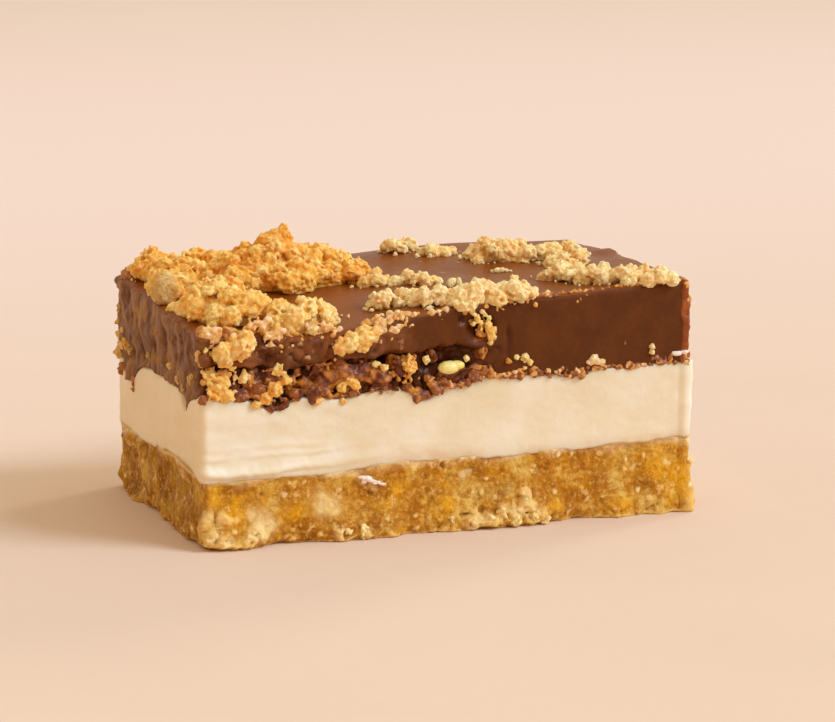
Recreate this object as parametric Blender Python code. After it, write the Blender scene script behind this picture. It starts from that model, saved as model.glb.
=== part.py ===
# A cut bar of honeycomb toffee slice: pressed crumb base, cream, chocolate and a golden crumble topping.
# It stands on its flat underside, with X along the long cut front, Y from front to back and Z up.
import math
import random

import bmesh
import bpy
from mathutils import Euler, Matrix, Vector, geometry, noise

MM = 0.001

# The cut bar
LENGTH = 82 * MM
DEPTH = 50 * MM
CORNER = 2.5 * MM
GAP = 0.3 * MM
COLUMN_STEP = 3.3 * MM
CORNER_STEPS = 3
SEAM_GRID = 9 * MM
TOP_GRID = 5.5 * MM

# Layer heights at the four corners of the bar
BASE_TOP = {"front_left": 10.5 * MM, "front_right": 12.4 * MM, "back_left": 11.0 * MM, "back_right": 12.0 * MM}
CREAM_TOP = {"front_left": 23.3 * MM, "front_right": 25.2 * MM, "back_left": 22.8 * MM, "back_right": 25.0 * MM}
CHOCOLATE_TOP = {"front_left": 33.3 * MM, "front_right": 38.0 * MM, "back_left": 36.0 * MM, "back_right": 38.3 * MM}

# Local swells and hollows: (x, y, radius, rise), a negative rise is a hollow
BASE_SWELLS = (
    (-4 * MM, -25 * MM, 9 * MM, -0.7 * MM),
    (-41 * MM, -2 * MM, 12 * MM, 1.0 * MM),
)
CREAM_SWELLS = (
    (-29 * MM, -25 * MM, 3.4 * MM, -1.7 * MM),
    (-5 * MM, -25 * MM, 2.8 * MM, -1.8 * MM),
    (22 * MM, -25 * MM, 1.9 * MM, -0.9 * MM),
    (-41 * MM, -15 * MM, 3.5 * MM, -1.6 * MM),
    (-41 * MM, 19 * MM, 4.5 * MM, -1.8 * MM),
)
CHOCOLATE_SWELLS = (
    (-20 * MM, -25 * MM, 13 * MM, -1.9 * MM),
    (14 * MM, 25 * MM, 24 * MM, 1.3 * MM),
)

# The front left of the chocolate breaks in two: a smooth shelf hangs over a rough crumb seam
SHELF_LIP = 28.4 * MM
LIP_SWELLS = (
    (-27 * MM, -25 * MM, 3.5 * MM, -1.3 * MM),
    (-2 * MM, -25 * MM, 4.5 * MM, 1.1 * MM),
)
SHELF_END = 1 * MM
SHELF_FADE = 9 * MM
SHELF_OVERHANG = 0.5 * MM
SEAM_RECESS = 1.7 * MM
TOP_EDGE_ROUND = 0.9 * MM
FOOT_ROUND = 1.3 * MM
FRONT_FOOT = {"x": 4 * MM, "reach": 20 * MM, "bulge": 1.5 * MM}

# Chocolate dragged down over the cream by the knife: centre and half sizes
SMEARS = (
    (Vector((-41.0, 15.5, 20.2)) * MM, Vector((0.9, 1.0, 3.2)) * MM),
    (Vector((-41.0, -15.5, 20.6)) * MM, Vector((0.8, 1.2, 2.6)) * MM),
    (Vector((-26.5, -25.2, 21.6)) * MM, Vector((1.8, 1.0, 1.3)) * MM),
)

# Crumble pieces on the chocolate: each lobe is (x, y, half length, half width, height, turn in degrees)
CRUMBLE = {
    "crumble_heap": (
        (-18, 8, 14.5, 10.5, 7.0, 4),
        (-30.5, 12, 9, 8.5, 6.0, 0),
        (-37.2, 18.5, 3.8, 4.8, 4.2, 0),
        (-37.2, 4, 4.2, 5.0, 4.8, 0),
        (-34.5, -3.5, 5.0, 6.0, 4.2, 0),
        (-31.8, -12.8, 7.2, 7.0, 5.6, 10),
        (-23.8, -18.8, 7.0, 4.6, 4.4, 12),
        (-16.5, 8, 3.2, 3.0, 10.4, 0),
    ),
    "crumble_front_edge": (
        (-6.6, -18.4, 4.6, 2.8, 3.0, 10),
        (-1.6, -20.6, 4.6, 2.8, 2.6, -10),
        (7.0, -22.2, 7.2, 3.4, 4.0, 0),
    ),
    "crumble_right_edge": (
        (24.6, -11.6, 4.8, 3.0, 2.6, -10),
        (28.8, -17.6, 5.8, 3.8, 3.0, -50),
        (34.0, -22.4, 5.2, 2.8, 2.8, -10),
    ),
    "crumble_mid_left": ((-4.2, -2.4, 3.2, 2.4, 2.4, -20),),
    "crumble_mid_right": ((3.2, -4.4, 4.8, 2.2, 2.2, -18),),
    "crumble_back_left": ((7.5, 20.2, 3.6, 2.3, 2.4, 8),),
    "crumble_back_mid": ((11.2, 13.6, 3.4, 2.2, 2.1, -8),),
    "crumble_back_large": (
        (18.0, 7.8, 4.6, 4.0, 4.2, 0),
        (23.4, 7.0, 4.2, 3.8, 3.6, -12),
    ),
    "crumble_back_right": ((32.4, 6.2, 4.2, 4.0, 3.8, -10),),
}
# Crumble clinging to the front face: (x, y, z) and half sizes
CLINGING = {
    "crumble_front_left": (Vector((-36.2, -26.2, 30.6)), Vector((4.2, 1.9, 2.9))),
    "crumble_front_mid": (Vector((-15.8, -26.4, 32.0)), Vector((4.4, 2.0, 2.7))),
}
CRAG_SIZE = 3.6 * MM
CRAG_RISE = 4.4 * MM
CHUNK_RADIUS = (1.3 * MM, 2.6 * MM)
LOBE_DETAIL = ((10 * MM, 4), (6.5 * MM, 3), (0.0, 2))


def ramp(t):
    t = min(1.0, max(0.0, t))
    return t * t * (3 - 2 * t)


def waves(x, y, z, size, shift=0.0):
    return noise.noise(Vector((x / size + shift, y / size - shift, z / size + 2 * shift)))


# Layer heights over the plan

def swell(x, y, places):
    total = 0.0
    for place_x, place_y, radius, rise in places:
        away = ((x - place_x) ** 2 + (y - place_y) ** 2) / radius ** 2
        total += rise * math.exp(-away)
    return total


def sheet(x, y, corners, places):
    along = x / LENGTH + 0.5
    back = y / DEPTH + 0.5
    front_edge = corners["front_left"] * (1 - along) + corners["front_right"] * along
    back_edge = corners["back_left"] * (1 - along) + corners["back_right"] * along
    return front_edge * (1 - back) + back_edge * back + swell(x, y, places)


def base_top(x, y):
    return sheet(x, y, BASE_TOP, BASE_SWELLS) + 0.35 * MM * waves(x, y, 0, 7 * MM, 3.1)


def cream_top(x, y):
    return sheet(x, y, CREAM_TOP, CREAM_SWELLS) + 0.6 * MM * waves(x, y, 0, 5 * MM, 7.7)


def chocolate_top(x, y):
    return sheet(x, y, CHOCOLATE_TOP, CHOCOLATE_SWELLS) + 0.35 * MM * waves(x, y, 0, 9 * MM, 5.3)


def lip_height(x, y):
    return SHELF_LIP + swell(x, y, LIP_SWELLS) + 0.25 * MM * waves(x, y, 0, 4 * MM, 9.2)


# The outline of the cut, walked anticlockwise from the front left corner

def walk(distance):
    arc = CORNER * math.pi / 2
    for turn in range(4):
        run, half = (LENGTH, DEPTH / 2) if turn % 2 == 0 else (DEPTH, LENGTH / 2)
        run -= 2 * CORNER
        heading = Vector((math.cos(turn * math.pi / 2), math.sin(turn * math.pi / 2)))
        outward = Vector((heading.y, -heading.x))
        if distance < run:
            return outward * half + heading * (distance - run / 2), outward
        distance -= run
        if distance < arc:
            outward_here = outward.copy()
            outward_here.rotate(Matrix.Rotation(distance / CORNER, 2))
            centre = outward * (half - CORNER) + heading * (run / 2)
            return centre + outward_here * CORNER, outward_here
        distance -= arc
    return walk(0.0)


def perimeter():
    return 2 * (LENGTH + DEPTH - 4 * CORNER) + 2 * math.pi * CORNER


def stations():
    found = []
    start = 0.0
    arc = CORNER * math.pi / 2
    for turn in range(4):
        run = (LENGTH if turn % 2 == 0 else DEPTH) - 2 * CORNER
        for length, count in ((run, round(run / COLUMN_STEP)), (arc, CORNER_STEPS)):
            found += [start + length * i / count for i in range(count)]
            start += length
    return [walk(distance) for distance in found]


# How far each layer's cut side stands out from that outline

def base_relief(point, outward, z):
    x, y = point
    front = max(0.0, -outward.y)
    foot = FRONT_FOOT["bulge"] * front * math.exp(-((x - FRONT_FOOT["x"]) / FRONT_FOOT["reach"]) ** 2)
    foot *= ramp(1.2 - z / (10 * MM))
    right_bulge = 0.9 * MM * max(0.0, outward.x)
    lumps = 0.9 * MM * waves(x, y, z, 6 * MM, 1.3) + 0.7 * MM * waves(x, y, z, 2.6 * MM, 4.4) - 0.5 * MM
    return foot + right_bulge + lumps - FOOT_ROUND * (1 - ramp(z / (2 * MM)))


def cream_relief(point, outward, z):
    x, y = point
    above = z - base_top(x, y)
    left_front = max(0.0, -outward.y) * (1 - ramp((x + 20 * MM) / (30 * MM)))
    lip = 0.6 * MM * left_front * math.exp(-((above - 1.3 * MM) / (1.1 * MM)) ** 2)
    return lip - 0.3 * MM + 0.45 * MM * waves(x, y, 2.5 * z, 11 * MM, 2.2)


def shelf_share(point, outward):
    return max(0.0, -outward.y) * (1 - ramp((point.x - SHELF_END) / SHELF_FADE))


def chocolate_relief(point, outward, z):
    x, y = point
    shelf = shelf_share(point, outward)
    left = max(0.0, -outward.x)
    above_lip = ramp((z - lip_height(x, y)) / (0.5 * MM) + 0.5)
    rough = waves(x, y, z, 3.2 * MM, 6.1)
    below = -shelf * (SEAM_RECESS + 1.0 * MM * rough) + left * (0.8 * MM * rough - 0.4 * MM)
    above = shelf * SHELF_OVERHANG + left * 0.35 * MM * waves(x, 4 * y, z, 8 * MM, 8.8)
    return above_lip * above + (1 - above_lip) * below + 0.25 * MM * waves(x, y, z, 12 * MM, 0.4)


def seam_out(point, outward):
    return -0.4 * MM * shelf_share(point, outward) + 0.2 * MM * waves(point.x, point.y, 0, 8 * MM, 1.9)


# Each layer is a wall of upright columns closed by an upper and a lower sheet

def base_column(point, outward):
    x, y = point
    roof = base_top(x, y)
    heights = [0.0, 1.0 * MM, 3.0 * MM, 5.2 * MM, 7.4 * MM, roof - 1.4 * MM]
    column = [(base_relief(point, outward, z), z) for z in heights]
    return column + [(seam_out(point, outward), roof)]


def cream_column(point, outward):
    x, y = point
    floor, roof = base_top(x, y) + GAP, cream_top(x, y)
    heights = [floor + 1.2 * MM, floor + 3.2 * MM, (floor + roof) / 2, roof - 2 * MM]
    column = [(cream_relief(point, outward, z), z) for z in heights]
    return [(seam_out(point, outward), floor)] + column + [(seam_out(point, outward), roof)]


def chocolate_column(point, outward):
    x, y = point
    floor, lip, roof = cream_top(x, y) + GAP, lip_height(x, y), chocolate_top(x, y)
    heights = [floor + share * (lip - floor) for share in (0.3, 0.6)]
    heights += [lip - 0.35 * MM, lip + 0.35 * MM, lip + 0.5 * (roof - lip), roof - TOP_EDGE_ROUND]
    column = [(chocolate_relief(point, outward, z), z) for z in heights]
    inset = chocolate_relief(point, outward, roof) - TOP_EDGE_ROUND
    return [(seam_out(point, outward), floor)] + column + [(inset, roof)]


def close_with_sheet(bm, rim, height, spacing, faces_up):
    margin = 1 - 2.2 * MM / (DEPTH / 2)
    half_x, half_y = LENGTH / 2 * margin, DEPTH / 2 * margin
    columns, rows = round(2 * half_x / spacing), round(2 * half_y / spacing)
    plan = [vert.co.to_2d() for vert in rim]
    for i in range(columns + 1):
        for j in range(rows + 1):
            plan.append(Vector((half_x * (2 * i / columns - 1), half_y * (2 * j / rows - 1))) * 0.97)
    edges = [(i, (i + 1) % len(rim)) for i in range(len(rim))]
    points, _, faces, sources, _, _ = geometry.delaunay_2d_cdt(plan, edges, [], 1, 1e-9)
    verts = []
    for point, source in zip(points, sources):
        if source and source[0] < len(rim):
            verts.append(rim[source[0]])
        else:
            verts.append(bm.verts.new((point.x, point.y, height(point.x, point.y))))
    for face in faces:
        order = face if faces_up else reversed(face)
        bm.faces.new([verts[i] for i in order])


def layer_object(name, column_at, floor, roof, floor_spacing, roof_spacing):
    bm = bmesh.new()
    walls = []
    for point, outward in stations():
        column = column_at(point, outward)
        walls.append([bm.verts.new((*(point + outward * out), z)) for out, z in column])
    for here, following in zip(walls, walls[1:] + walls[:1]):
        for low in range(len(here) - 1):
            bm.faces.new((here[low], following[low], following[low + 1], here[low + 1]))
    close_with_sheet(bm, [wall[0] for wall in walls], floor, floor_spacing, False)
    close_with_sheet(bm, [wall[-1] for wall in walls], roof, roof_spacing, True)
    return object_from(bm, name)


def object_from(bm, name):
    bmesh.ops.triangulate(bm, faces=bm.faces[:])
    mesh = bpy.data.meshes.new(name)
    bm.to_mesh(mesh)
    bm.free()
    made = bpy.data.objects.new(name, mesh)
    bpy.context.scene.collection.objects.link(made)
    return made


# Crumbs: small uneven lumps that are fused to what they lie on

def lump(name, place, sizes, draw, detail=1):
    bm = bmesh.new()
    bmesh.ops.create_icosphere(bm, subdivisions=detail, radius=1.0)
    shift = draw.uniform(0, 50)
    for vert in bm.verts:
        vert.co *= 1 + 0.3 * noise.noise(vert.co * 1.3 + Vector((shift, shift, shift)))
    turn = Euler([draw.uniform(0, math.tau) for _ in range(3)]).to_matrix().to_4x4()
    bm.transform(Matrix.Translation(place) @ Matrix.Diagonal((*sizes, 1)) @ turn)
    bmesh.ops.recalc_face_normals(bm, faces=bm.faces[:])
    return object_from(bm, name)


def largest_body(bm):
    unseen = set(bm.verts)
    bodies = []
    while unseen:
        stack = [unseen.pop()]
        body = set(stack)
        while stack:
            for edge in stack.pop().link_edges:
                for vert in edge.verts:
                    if vert in unseen:
                        unseen.discard(vert)
                        body.add(vert)
                        stack.append(vert)
        bodies.append(body)
    keep = max(bodies, key=len, default=set())
    bmesh.ops.delete(bm, geom=[vert for vert in bm.verts if vert not in keep], context="VERTS")


def apply_boolean(target, helpers, operation):
    gathered = bpy.data.collections.new("helpers")
    bpy.context.scene.collection.children.link(gathered)
    for helper in helpers:
        bpy.context.scene.collection.objects.unlink(helper)
        gathered.objects.link(helper)
    modifier = target.modifiers.new("join", "BOOLEAN")
    modifier.operation = operation
    modifier.operand_type = "COLLECTION"
    modifier.collection = gathered
    bpy.context.view_layer.update()
    evaluated = target.evaluated_get(bpy.context.evaluated_depsgraph_get())
    bm = bmesh.new()
    bm.from_mesh(evaluated.to_mesh())
    evaluated.to_mesh_clear()
    target.modifiers.remove(modifier)
    for helper in helpers:
        bpy.data.objects.remove(helper)
    bpy.data.collections.remove(gathered)
    largest_body(bm)
    bmesh.ops.triangulate(bm, faces=bm.faces[:])
    bm.to_mesh(target.data)
    bm.free()


def grown_copy(source, distance):
    bm = bmesh.new()
    bm.from_mesh(source.data)
    bm.normal_update()
    moved = [vert.co + vert.normal * distance * vert.calc_shell_factor() for vert in bm.verts]
    for vert, place in zip(bm.verts, moved):
        vert.co = place
    return object_from(bm, source.name + "_grown")


def side_crumbs(label, count, relief, lowest, highest, radii, seed, sink, favour=None):
    draw = random.Random(seed)
    made = []
    while len(made) < count:
        point, outward = walk(draw.uniform(0, perimeter()))
        radius = draw.uniform(*radii)
        low, high = lowest(point.x, point.y), highest(point.x, point.y)
        z = draw.uniform(low, high)
        if favour and draw.random() > favour(point, outward):
            continue
        flat = point + outward * (relief(point, outward, z) - sink * radius)
        sizes = [radius * draw.uniform(0.75, 1.25) for _ in range(3)]
        made.append(lump(label, Vector((*flat, z)), sizes, draw))
    return made


def inside_crumble(x, y, margin):
    for lobes in CRUMBLE.values():
        for lobe_x, lobe_y, half_length, half_width, _, turn in lobes:
            away = Vector((x - lobe_x * MM, y - lobe_y * MM))
            away.rotate(Matrix.Rotation(-math.radians(turn), 2))
            reach_x, reach_y = half_length * MM + margin, half_width * MM + margin
            if (away.x / reach_x) ** 2 + (away.y / reach_y) ** 2 < 1:
                return True
    return False


def top_crumbs(count, radii, seed):
    draw = random.Random(seed)
    made = []
    while len(made) < count:
        x = draw.uniform(-1, 1) * (LENGTH / 2 - 2.5 * MM)
        y = draw.uniform(-1, 1) * (DEPTH / 2 - 2.5 * MM)
        radius = draw.uniform(*radii)
        if inside_crumble(x, y, 2.6 * MM):
            continue
        place = Vector((x, y, chocolate_top(x, y) + 0.2 * radius))
        sizes = [radius * draw.uniform(0.8, 1.3) for _ in range(2)] + [radius * 0.75]
        made.append(lump("top_crumb", place, sizes, draw))
    return made


# The layers

def build_base():
    base = layer_object("biscuit_base", base_column, lambda x, y: 0.0, base_top, 14 * MM, SEAM_GRID)
    crumbs = side_crumbs(
        "base_crumb", 40, base_relief, lambda x, y: 2.3 * MM, lambda x, y: base_top(x, y) - 2.5 * MM,
        (1.0 * MM, 2.0 * MM), 11, 0.3,
    )
    apply_boolean(base, crumbs, "UNION")
    return base


def build_cream():
    return layer_object(
        "cream_layer", cream_column, lambda x, y: base_top(x, y) + GAP, cream_top, SEAM_GRID, SEAM_GRID
    )


def build_chocolate(cream):
    chocolate = layer_object(
        "chocolate_layer", chocolate_column, lambda x, y: cream_top(x, y) + GAP, chocolate_top, SEAM_GRID, TOP_GRID
    )
    plain = grown_copy(chocolate, 0.0)
    plain.name = "chocolate_plain"
    draw = random.Random(5)
    crumbs = [lump("smear", place, sizes, draw, 2) for place, sizes in SMEARS]
    crumbs += side_crumbs(
        "seam_crumb", 20, chocolate_relief, cream_top, lambda x, y: lip_height(x, y) - 0.8 * MM,
        (1.0 * MM, 1.8 * MM), 21, 0.2,
        lambda point, outward: max(shelf_share(point, outward), 0.45 * max(0.0, -outward.x)),
    )
    crumbs += side_crumbs(
        "edge_crumb", 12, chocolate_relief, cream_top, lambda x, y: cream_top(x, y) + 1.2 * MM,
        (0.6 * MM, 1.0 * MM), 22, 0.3, lambda point, outward: 1 - shelf_share(point, outward),
    )
    crumbs = [crumb for crumb in crumbs if cut_clear(crumb, cream)]
    crumbs += top_crumbs(9, (0.6 * MM, 1.1 * MM), 23)
    apply_boolean(chocolate, crumbs, "UNION")
    return chocolate, plain


def cut_clear(crumb, neighbour):
    apply_boolean(crumb, [grown_copy(neighbour, 1.5 * GAP)], "DIFFERENCE")
    if crumb.data.polygons:
        return True
    bpy.data.objects.remove(crumb)
    return False


# The crumble pieces: craggy lobes fused together, then cut to sit on the chocolate

def craggy_lobe(name, centre, sizes, turn):
    detail = next(steps for reach, steps in LOBE_DETAIL if max(sizes) >= reach)
    bm = bmesh.new()
    bmesh.ops.create_icosphere(bm, subdivisions=detail, radius=1.0)
    spin = Matrix.Rotation(turn, 3, "Z")
    crag = min(1.0, sorted(sizes)[1] / (5 * MM))
    for vert in bm.verts:
        unit = vert.co.copy()
        smooth = centre + spin @ Vector(a * b for a, b in zip(unit, sizes))
        normal = spin @ Vector(a / b for a, b in zip(unit, sizes)).normalized()
        near = noise.voronoi(smooth / (CRAG_SIZE * crag))[0][0]
        vert.co = smooth + normal * CRAG_RISE * crag * (0.38 - near)
    return object_from(bm, name)


def lobe_chunks(name, centre, sizes, turn, draw):
    spin = Matrix.Rotation(turn, 3, "Z")
    made = []
    for _ in range(1 + round(sizes.x * sizes.y / (28 * MM ** 2))):
        radius = min(draw.uniform(*CHUNK_RADIUS), 0.55 * sizes.y)
        angle, rise = draw.uniform(0, math.tau), draw.uniform(0.1, 0.9)
        flat = math.sqrt(1 - rise * rise)
        unit = (flat * math.cos(angle), flat * math.sin(angle), rise)
        away = spin @ Vector(a * (b - 0.6 * radius) for a, b in zip(unit, sizes))
        made.append(lump(name, centre + away, [radius * draw.uniform(0.8, 1.2) for _ in range(3)], draw))
    return made


def crumble_object(name, lobes, plain):
    draw = random.Random(len(name))
    parts = []
    for lobe_x, lobe_y, half_length, half_width, height, turn in lobes:
        centre = Vector((lobe_x, lobe_y, 0)) * MM
        centre.z = chocolate_top(centre.x, centre.y)
        sizes = Vector((half_length, half_width, height)) * MM
        parts.append(craggy_lobe(name + "_lobe", centre, sizes, math.radians(turn)))
        parts += lobe_chunks(name + "_chunk", centre, sizes, math.radians(turn), draw)
    return fused_crumble(name, parts, plain)


def clinging_object(name, centre, sizes, plain):
    draw = random.Random(len(name))
    parts = [craggy_lobe(name + "_lobe", centre * MM, sizes * MM, 0.0)]
    for _ in range(3):
        angle = draw.uniform(0, math.tau)
        off = Vector((sizes.x * math.cos(angle), -0.4 * draw.random(), sizes.z * math.sin(angle))) * 0.75
        parts.append(lump(name + "_chunk", (centre + off) * MM, [draw.uniform(1.0, 1.6) * MM] * 3, draw))
    return fused_crumble(name, parts, plain)


def fused_crumble(name, parts, plain):
    body = parts.pop(0)
    body.name = name
    body.data.name = name
    if parts:
        apply_boolean(body, parts, "UNION")
    apply_boolean(body, [grown_copy(plain, GAP)], "DIFFERENCE")
    return body


# Finishes

def finish(name, colour, roughness):
    material = bpy.data.materials.new(name)
    material.use_nodes = True
    shader = material.node_tree.nodes["Principled BSDF"]
    shader.inputs["Base Color"].default_value = (*colour, 1.0)
    shader.inputs["Roughness"].default_value = roughness
    shader.inputs["Metallic"].default_value = 0.0
    material.diffuse_color = (*colour, 1.0)
    return material


def dress(made, material, sharp_degrees):
    made.data.materials.clear()
    made.data.materials.append(material)
    made.data.shade_smooth()
    made.data.set_sharp_from_angle(angle=math.radians(sharp_degrees))


def centre_on_origin(pieces):
    corners = [made.matrix_world @ vert.co for made in pieces for vert in made.data.vertices]
    shift = Vector((
        -(min(c.x for c in corners) + max(c.x for c in corners)) / 2,
        -(min(c.y for c in corners) + max(c.y for c in corners)) / 2,
        -min(c.z for c in corners),
    ))
    for made in pieces:
        made.location = shift


def main():
    for old in list(bpy.data.objects):
        bpy.data.objects.remove(old)
    base = build_base()
    cream = build_cream()
    chocolate, plain = build_chocolate(cream)
    crumble = [crumble_object(name, lobes, plain) for name, lobes in CRUMBLE.items()]
    crumble += [clinging_object(name, *shape, plain) for name, shape in CLINGING.items()]
    bpy.data.objects.remove(plain)
    dress(base, finish("pressed_crumb", (0.50, 0.21, 0.045), 0.75), 40)
    dress(cream, finish("pale_cream", (0.86, 0.68, 0.45), 0.5), 50)
    dress(chocolate, finish("milk_chocolate", (0.13, 0.042, 0.014), 0.42), 40)
    toffee = finish("golden_crumble", (0.78, 0.40, 0.11), 0.8)
    for made in crumble:
        dress(made, toffee, 40)
    centre_on_origin([base, cream, chocolate] + crumble)


main()
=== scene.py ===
import math

import bmesh
import bpy
import numpy as np
from mathutils import Matrix, Vector, geometry, kdtree, noise


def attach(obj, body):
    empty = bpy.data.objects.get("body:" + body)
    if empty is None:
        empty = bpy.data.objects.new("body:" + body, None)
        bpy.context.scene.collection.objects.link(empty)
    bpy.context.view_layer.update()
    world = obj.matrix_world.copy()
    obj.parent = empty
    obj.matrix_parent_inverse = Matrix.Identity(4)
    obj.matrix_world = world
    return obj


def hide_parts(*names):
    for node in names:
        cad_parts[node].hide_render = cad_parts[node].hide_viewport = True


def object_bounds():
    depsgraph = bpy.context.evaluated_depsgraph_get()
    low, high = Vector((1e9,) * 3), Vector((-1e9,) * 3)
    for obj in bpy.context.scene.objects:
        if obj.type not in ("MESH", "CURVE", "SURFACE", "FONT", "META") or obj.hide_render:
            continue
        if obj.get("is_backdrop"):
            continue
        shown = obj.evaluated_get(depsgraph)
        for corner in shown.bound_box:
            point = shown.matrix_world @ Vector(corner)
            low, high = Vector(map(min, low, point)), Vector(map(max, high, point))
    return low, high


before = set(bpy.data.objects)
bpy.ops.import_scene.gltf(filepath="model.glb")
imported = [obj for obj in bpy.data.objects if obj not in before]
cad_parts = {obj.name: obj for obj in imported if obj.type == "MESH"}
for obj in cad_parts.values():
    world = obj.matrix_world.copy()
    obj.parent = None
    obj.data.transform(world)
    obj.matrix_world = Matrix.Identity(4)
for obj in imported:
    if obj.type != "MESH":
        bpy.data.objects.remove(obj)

cadBox = [list(corner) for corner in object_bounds()]
mm = 0.001

# The cut bar: shapes are worked out about the middle of its plan, then moved by shift
bar = {
    "length": 82 * mm,
    "depth": 50 * mm,
    "corner": 1.5 * mm,
    "backSlant": {"rise": 1.5 * mm, "from": 5 * mm, "over": 36 * mm, "behind": 25 * mm},
    "shift": Vector((-0.502, 1.141, 0.0)) * mm,
}
frontFace = -bar["depth"] / 2
# Heights of each layer's top at its front left, front right, back left and back right corners, its swells
# as x, y, radius and rise in mm, and its ripple as rise, size and move
baseLevels = {
    "corners": (10.5 * mm, 12.4 * mm, 11.0 * mm, 12.0 * mm),
    "swells": ((-6, -25, 8, 0.45), (-20, -25, 4, -0.5), (-41, -2, 12, 1.0), (-41, -13, 7, 1.1)),
    "ripple": (0.35 * mm, 7 * mm, 3.1),
}
creamLevels = {
    "corners": (22.9 * mm, 24.9 * mm, 22.8 * mm, 24.9 * mm),
    "swells": (
        (-41, -25, 2.4, 1.1), (-29, -25, 2.8, -2.2), (-18, -25, 6, -1.0), (-4.5, -25, 2.6, -2.4),
        (0.5, -25, 3, -0.6), (22, -25, 1.7, -1.0), (-41, 0, 13, 0.7), (-41, -15.8, 2.6, -2.6),
        (-41, 17, 4.5, -3.2),
    ),
    "ripple": (0.35 * mm, 5 * mm, 7.7),
}
chocolateLevels = {
    "corners": (33.3 * mm, 38.0 * mm, 36.0 * mm, 38.3 * mm),
    "swells": ((-20, -25, 13, -1.9), (14, 25, 24, 1.3), (41, -1, 13, 0.5), (40, 6, 2.6, 0.8)),
    "ripple": (0.35 * mm, 9 * mm, 5.3),
}


def ramp(t):
    t = np.clip(t, 0.0, 1.0)
    return t * t * (3 - 2 * t)


def waves(x, y, z, size, move):
    return noise.noise(Vector((x / size + move, y / size - move, z / size + 2 * move)))


def levelAt(x, y, levels):
    frontLeft, frontRight, backLeft, backRight = levels["corners"]
    along, back = x / bar["length"] + 0.5, y / bar["depth"] + 0.5
    height = (frontLeft * (1 - along) + frontRight * along) * (1 - back)
    height += (backLeft * (1 - along) + backRight * along) * back
    for placeX, placeY, radius, rise in levels["swells"]:
        height += rise * mm * math.exp(-((x / mm - placeX) ** 2 + (y / mm - placeY) ** 2) / radius ** 2)
    rise, size, move = levels["ripple"]
    return height + rise * waves(x, y, 0, size, move)


def baseTop(x, y):
    return levelAt(x, y, baseLevels)


def creamTop(x, y):
    return levelAt(x, y, creamLevels)


def chocolateTop(x, y):
    return levelAt(x, y, chocolateLevels)


# Noise over many points at once

hashing = {
    "axisPrimes": (73856093, 19349663, 83492791),
    "seedPrime": 2654435761,
    "rounds": ((15, 2246822519), (13, 3266489917)),
    "lastShift": 16,
    "kept": 0xFFFFFFFF,
    "shown": 0xFFFFFF,
}


def hashed(cells, seed):
    # a number from 0 to 1 for each whole-number cell
    mixed = seed * hashing["seedPrime"]
    for k, prime in enumerate(hashing["axisPrimes"]):
        mixed = mixed ^ cells[..., k] * prime
    mixed = mixed & hashing["kept"]
    for shift, prime in hashing["rounds"]:
        mixed = ((mixed ^ (mixed >> shift)) * prime) & hashing["kept"]
    return ((mixed ^ (mixed >> hashing["lastShift"])) & hashing["shown"]) / float(hashing["shown"])


def softNoise(points, size, seed, stretch=(1, 1, 1)):
    # smooth noise from -1 to 1; stretch makes it longer along an axis
    scaled = points / size / np.array(stretch)
    low = np.floor(scaled).astype(np.int64)
    part = scaled - low
    part = part * part * (3 - 2 * part)
    total = np.zeros(points.shape[:-1])
    for corner in np.ndindex(2, 2, 2):
        weight = np.prod(np.where(corner, part, 1 - part), axis=-1)
        total += weight * hashed(low + np.array(corner), seed)
    return total * 2 - 1


def cellNoise(points, size, seed):
    # distance to the nearest scattered centre, in cell sizes, and that centre's own number from 0 to 1
    scaled = points / size
    low = np.floor(scaled).astype(np.int64)
    nearest = np.full(points.shape[:-1], 9.0)
    number = np.zeros(points.shape[:-1])
    for step in np.ndindex(3, 3, 3):
        cell = low + np.array(step) - 1
        centre = cell + np.stack([hashed(cell, seed + k) for k in (1, 2, 3)], axis=-1)
        away = np.linalg.norm(scaled - centre, axis=-1)
        closer = away < nearest
        nearest = np.where(closer, away, nearest)
        number = np.where(closer, hashed(cell, seed + 4), number)
    return nearest, number


def billow(points, size, seed):
    # uneven lumps with creases between them, from 0 up, at one size and at about half of it
    fine = softNoise(points * 2.03 + size, size, seed + 1)
    return np.abs(softNoise(points, size, seed)) + 0.5 * np.abs(fine)


def warped(points, size, seed, amount=0.35):
    # the same points pushed about, so that cells on them come out ragged
    shift = np.stack([softNoise(points, size, seed + k) for k in range(3)], axis=-1)
    return points + amount * size * shift


def bump(away, reach):
    # a round grain: 1 at its centre, 0 from reach outwards
    return np.sqrt(np.clip(1 - (away / reach) ** 2, 0, 1))


# The outline of the cut, anticlockwise from the front left corner

def walkOutline(step):
    corner = bar["corner"]
    points, outwards = [], []
    for turn in range(4):
        run, across = (bar["length"], bar["depth"]) if turn % 2 == 0 else (bar["depth"], bar["length"])
        run, half = run - 2 * corner, across / 2
        heading = Vector((math.cos(turn * math.pi / 2), math.sin(turn * math.pi / 2)))
        outward = Vector((heading.y, -heading.x))
        count = round(run / step)
        for i in range(count):
            points.append(outward * half + heading * (run * i / count - run / 2))
            outwards.append(outward.copy())
        count = max(3, round(corner * math.pi / 2 / step))
        centre = outward * (half - corner) + heading * (run / 2)
        for i in range(count):
            turned = outward.copy()
            turned.rotate(Matrix.Rotation(math.pi / 2 * i / count, 2))
            points.append(centre + turned * corner)
            outwards.append(turned)
    points, outwards = np.array(points), np.array(outwards)
    # the back was cut a little askew, so the left end is deeper
    slant = bar["backSlant"]
    leftward = ramp((-points[:, 0] - slant["from"]) / slant["over"])
    points[:, 1] += slant["rise"] * (leftward * ramp(points[:, 1] / slant["behind"]))
    return points, outwards


def tableOf(points, function):
    return np.array([function(x, y) for x, y in points])


# Columns of points up the sides of a layer

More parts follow.
